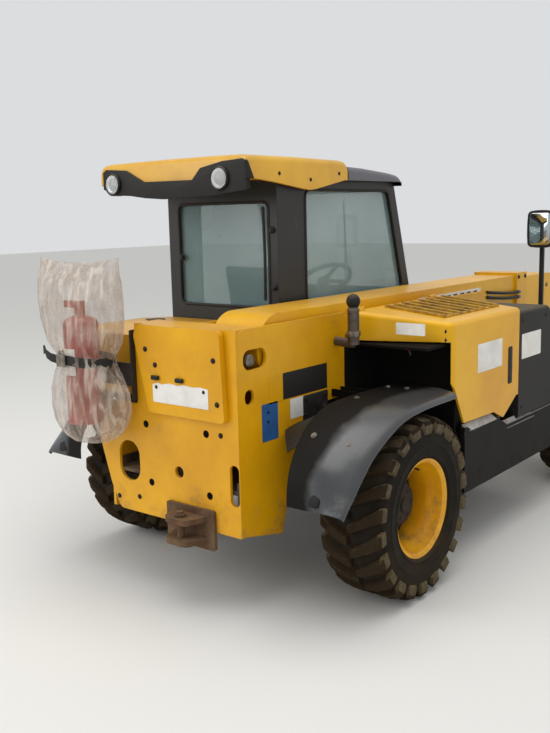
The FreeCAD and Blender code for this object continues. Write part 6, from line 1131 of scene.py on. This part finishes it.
for k, z in enumerate((0.76, 1.70)):
    knuckle = [(0.0, z - 0.045), (0.012, z - 0.045), (0.0135, z - 0.042), (0.0135, z + 0.042), (0.012, z + 0.045),
               (0.0, z + 0.045)]
    settle(turned(f"door_knuckle_{k}", knuckle, at(0.437, 0.8677, 0), (0, 0, 1), 24, ring=False), black_bolt, "door")


def on_screen(y, t, out=0.0):
    """A point on the slanted front window, t from its foot at 0 to its top at 1."""
    x, z = (foot + (top - foot) * t for foot, top in zip(SCREEN_FOOT, SCREEN_TOP))
    return at(x + 0.96 * out, y, z + 0.285 * out)


pipe("front_wiper_arm", [on_screen(0.42, -0.03, 0.010), on_screen(0.42, 0.10, 0.024), on_screen(0.36, 0.55, 0.020)],
     0.006, gasket_rubber, "chassis", smooth=True)
pipe("front_wiper_blade", [on_screen(0.385, 0.20, 0.012), on_screen(0.355, 0.52, 0.012),
                           on_screen(0.325, 0.84, 0.012)], 0.006, gasket_rubber, "chassis")
settle(turned("front_wiper_motor", [(0.0, 0.0), (0.030, 0.0), (0.030, 0.018), (0.024, 0.026), (0.0, 0.026)],
              on_screen(0.42, -0.05, 0.0), (0.96, 0, 0.285), 32, ring=False), black_moulding, "chassis")

# Cab inside

for k, (x, z) in enumerate(((1.170, 1.128), (1.205, 1.128))):
    for side_step in (-1, 1):
        switch = rounded(box_of(x - 0.012, x + 0.012, 0.4 + side_step * 0.11 - 0.02, 0.4 + side_step * 0.11 + 0.02),
                         0.003)
        flat(f"rocker_{k}_{side_step + 1}", switch, above(z), 0.008, black_moulding, "chassis", "black_moulding", 0.002)
dial = lambda a, b, out=0.0: at(1.1385 - 0.99 * out + (b - 1.095) * 0.16, a, b + 0.16 * out)
for k, y in enumerate((0.30, 0.40, 0.50)):
    flat(f"dial_{k}", circle_of(y, 1.096, 0.0125, 24), dial, 0.002, dial_face, "chassis", "black_moulding", seat=0.001)
lever = [at(0.86, 0.700, 0.645), at(0.86, 0.705, 0.85), at(0.88, 0.700, 1.02), at(0.89, 0.695, 1.10)]
pipe("hand_lever", lever, 0.008, chrome, "chassis", smooth=True)
grip = [(0.0, -0.05), (0.016, -0.05), (0.020, -0.02), (0.022, 0.02), (0.018, 0.045), (0.0, 0.052)]
settle(turned("lever_grip", grip, at(0.892, 0.694, 1.145), (0.15, -0.05, 1), 28, ring=False), black_moulding,
       "chassis")
for k, y in enumerate((0.28, 0.52)):
    pedal = rounded(box_of(y - 0.035, y + 0.035, 0.70, 0.80), 0.01)
    slope = lambda a, b, out=0.0: at(1.185 + (b - 0.70) * 0.35 - 0.94 * out, a, b + 0.33 * out)
    flat(f"pedal_{k}", pedal, slope, 0.010, gasket_rubber, "chassis", "black_moulding", 0.003)
    pipe(f"pedal_arm_{k}", [slope(y, 0.79, -0.002), at(1.222, y, 0.90)], 0.008, black_bolt, "chassis")

# Steps

for name, low_x, high_x, edge, count, step in (
        ("step_cleats", 0.68, 0.69, ((0.795, 0.4495), (0.812, 0.4455), (0.812, 0.4545), (0.795, 0.4585)), 32, 0.025),
        ("skirt_cleats", 1.00, 1.018, ((-0.845, 0.6002), (-0.835, 0.6002), (-0.836, 0.6045), (-0.844, 0.6045)), 20,
         0.030)):
    bar = lofted(name, [[at(x, y, z) for y, z in edge] for x in (low_x, high_x)])
    mend(bar.data)
    grown(bar, row_nodes, step_black, "chassis", "black_moulding", Count=count, Step=(step, 0.0, 0.0))

for name, low_x, high_x, low_z, high_z in (("skirt_shoulder_rear", 0.480, 0.800, 0.653, 0.690),
                                           ("skirt_shoulder_front", 0.915, 1.280, 0.578, 0.618)):
    rings = []
    for x, skew in ((low_x, 0.045), (high_x, 0.032)):
        rings.append([at(x, -0.838, high_z), at(x + skew, -0.8615, low_z), at(x + skew, -0.8575, low_z),
                      at(x, -0.834, high_z)])
    settle(lofted(name, rings), pale_ledge, "chassis")

# Tank, engine and hoses

cap = [(0.0, 0.0), (0.052, 0.0), (0.052, 0.008), (0.044, 0.012), (0.044, 0.034), (0.040, 0.040), (0.0, 0.042)]
TANK_TOP = 1.1801
settle(turned("tank_cap", cap, at(-0.30, 0.42, TANK_TOP), (0, 0, 1), 40, ring=False), black_moulding, "chassis")
bolts("tank_bolts", above(TANK_TOP + 0.0001), [(-0.52, 0.26), (-0.52, 0.70), (0.0, 0.26), (-0.10, 0.70)], 0.009, 0.006,
      zinc_steel, "chassis", "black_enamel")
settle(turned("dipstick_knob", [(0.0, 0.0), (0.012, 0.0), (0.016, 0.008), (0.016, 0.018), (0.010, 0.026),
                                (0.0, 0.028)], at(0.390, -0.600, 1.052), (-0.35, 0, 1), 24, ring=False), knob_red,
       "chassis")
pipe("dipstick_tube", [at(0.472, -0.600, 0.960), at(0.425, -0.600, 0.985), at(0.391, -0.600, 1.053)], 0.0055,
     zinc_steel, "chassis", smooth=True)
settle(turned("oil_filter", [(0.0, 0.0), (0.036, 0.0), (0.040, 0.006), (0.040, 0.090), (0.034, 0.100), (0.0, 0.100)],
              at(0.4695, -0.56, 0.78), (-1, 0, 0), 36, ring=False), frame_enamel, "chassis")
bolts("engine_bolts", behind(0.4699), [(-0.47, 0.70), (-0.70, 0.70), (-0.47, 1.00), (-0.70, 1.00)], 0.009, 0.007,
      zinc_steel, "chassis", "engine_iron")
for k, drop in enumerate((0.0, 0.032)):
    hose = [at(x, boom_right + out, z - drop) for x, out, z in ((1.72, 0.010, 1.215), (1.80, -0.012, 1.205),
                                                                (2.00, -0.014, 1.188), (2.13, -0.012, 1.186))]
    pipe(f"boom_hose_{k}", hose, 0.0095, gasket_rubber, "outer_boom", smooth=True)
    settle(turned(f"hose_end_{k}", [(0.0, 0.0), (0.014, 0.0), (0.014, 0.022), (0.011, 0.026), (0.011, 0.034),
                                    (0.0, 0.034)], hose[-1] + Vector((-0.006, 0, 0)), (1, 0, 0), 6, ring=False),
           zinc_steel, "outer_boom")
bolts("collar_bolts", right_of(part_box("outer_boom")[0].y),
      [(2.165, 1.00), (2.265, 1.00), (2.165, 1.28), (2.265, 1.28)], 0.010, 0.007, black_bolt, "outer_boom",
      "black_enamel")
bolts("boom_pads", boom_side, [(0.02, 1.06), (0.02, 1.22), (0.40, 1.06), (0.40, 1.22), (1.75, 1.06), (2.05, 1.06)],
      0.011, 0.006, zinc_steel, "outer_boom", "black_enamel")
bolts("head_bolts", right_of(-0.351), [(2.90, 1.14), (2.72, 1.19), (2.90, 0.60), (2.94, 0.85)], 0.012, 0.007,
      zinc_steel, "inner_boom", "black_enamel")
bolts("carriage_bolts", ahead(3.2901), [(y, z) for y in (-0.49, -0.16, 0.03, 0.49) for z in (0.18, 0.71)], 0.011,
      0.007, zinc_steel, "carriage", "black_enamel")
bolts("panel_rivets", right_of(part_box("intake_box")[0].y), [(1.14, 0.66), (1.14, 1.13), (1.45, 1.13), (1.60, 0.70)],
      0.008, 0.004, black_bolt, "chassis", "black_moulding", 20)
bolts("hood_screws", hood_side, [(0.27, 1.13), (0.27, 1.17)], 0.007, 0.004, black_bolt, "hood", "black_enamel", 20)

# CAD nodes keep their shape and take a finish

FINISHES = {"chassis_frame": frame_enamel, "rear_body": yellow_enamel, "rear_panel": yellow_enamel,
            "rear_axle": cast_iron, "front_axle": cast_iron, "engine_block": cast_iron, "engine_bay_liner": bay_black,
            "side_skirt": step_black, "intake_box": black_moulding, "hydraulic_tank": yellow_enamel,
            "left_step": step_black, "tow_hitch": hitch_steel, "extinguisher_bracket": frame_enamel,
            "extinguisher": red_enamel, "cab_frame": cab_enamel, "cab_glass": tinted_glass, "cab_roof": roof_gel_coat,
            "roof_visor": black_moulding, "lamps": black_moulding, "seat_base": black_moulding,
            "seat_cushions": seat_cloth, "dashboard": black_moulding, "steering_wheel": black_moulding,
            "mirrors": black_moulding, "outer_boom": hood_enamel_painted_light, "inner_boom": hood_enamel_painted_light, "carriage": frame_enamel,
            "forks": fork_steel, "lift_barrel": frame_enamel, "lift_rod": chrome, "tilt_barrel": frame_enamel,
            "tilt_rod": chrome, "door_frame": cab_enamel, "door_glass": tinted_glass, "hood": hood_enamel_painted_light,
            "hood_grille": louvre_enamel, "knuckle_rear_left": cast_iron, "knuckle_rear_right": cast_iron,
            "knuckle_front_left": cast_iron, "knuckle_front_right": cast_iron}
for name, material in FINISHES.items():
    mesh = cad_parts[name].data
    if not mesh.materials:
        mesh.materials.append(material)
    for k in range(len(mesh.materials)):
        mesh.materials[k] = material

# Floor, light and camera

floor = new_thing("floor", [(-40, -40, 0), (40, -40, 0), (40, 40, 0), (-40, 40, 0)], [(0, 1, 2, 3)])
pale, _, pale_shader = new_material("pale_floor")
pale_shader.inputs["Base Color"].default_value = colour("#d9d7d2")
pale_shader.inputs["Roughness"].default_value = 0.9
floor.data.materials.append(pale)

world = bpy.data.worlds.new("studio")
scene.world = world
world.use_nodes = True
sky = world.node_tree
sky.nodes.clear()
path = add(sky, "ShaderNodeLightPath")
seen = add(sky, "ShaderNodeMath", {0: path.outputs["Is Camera Ray"], 1: path.outputs["Is Glossy Ray"]},
           operation="MAXIMUM")
shown = add(sky, "ShaderNodeMath", {0: seen, 1: path.outputs["Is Transmission Ray"]}, operation="MAXIMUM")
level = add(sky, "ShaderNodeMapRange", {0: shown, 3: 0.86, 4: 0.80})
glow = add(sky, "ShaderNodeBackground", {"Color": colour("#f2f4f6"), "Strength": level})
add(sky, "ShaderNodeOutputWorld", {"Surface": glow})


def lamp_light(name, place, target, size, power):
    light = bpy.data.lights.new(name, "AREA")
    light.shape = "DISK"
    light.size = size
    light.energy = power
    thing = bpy.data.objects.new(name, light)
    scene.collection.objects.link(thing)
    thing.location = place
    thing.rotation_euler = (Vector(target) - Vector(place)).to_track_quat("-Z", "Y").to_euler()


lamp_light("overhead", (-2.0, -1.0, 7.5), (0, 0, 0.8), 7.0, 270)
lamp_light("from_behind", (-6.5, 3.0, 3.5), (0, 0, 0.8), 4.0, 110)

# The camera's place and turn, found from known points of the photograph.
heading, tip, roll = 0.677219135, 0.167324287, 0.0242960584
look = Vector((math.cos(heading) * math.cos(tip), math.sin(heading) * math.cos(tip), -math.sin(tip)))
across = Vector((math.sin(heading), -math.cos(heading), 0.0))
down = look.cross(across)
right = across * math.cos(roll) + down * math.sin(roll)
under = down * math.cos(roll) - across * math.sin(roll)
view = bpy.data.cameras.new("view")
view.lens = 43.555
view.sensor_width = 36.0
camera = bpy.data.objects.new("view", view)
scene.collection.objects.link(camera)
turn = Matrix((right, -under, -look)).transposed()
camera.matrix_world = Matrix.Translation(at(-3.32904, -2.75582, 1.70239)) @ turn.to_4x4()
scene.camera = camera
scene.view_settings.view_transform = "Standard"

bpy.context.view_layer.update()
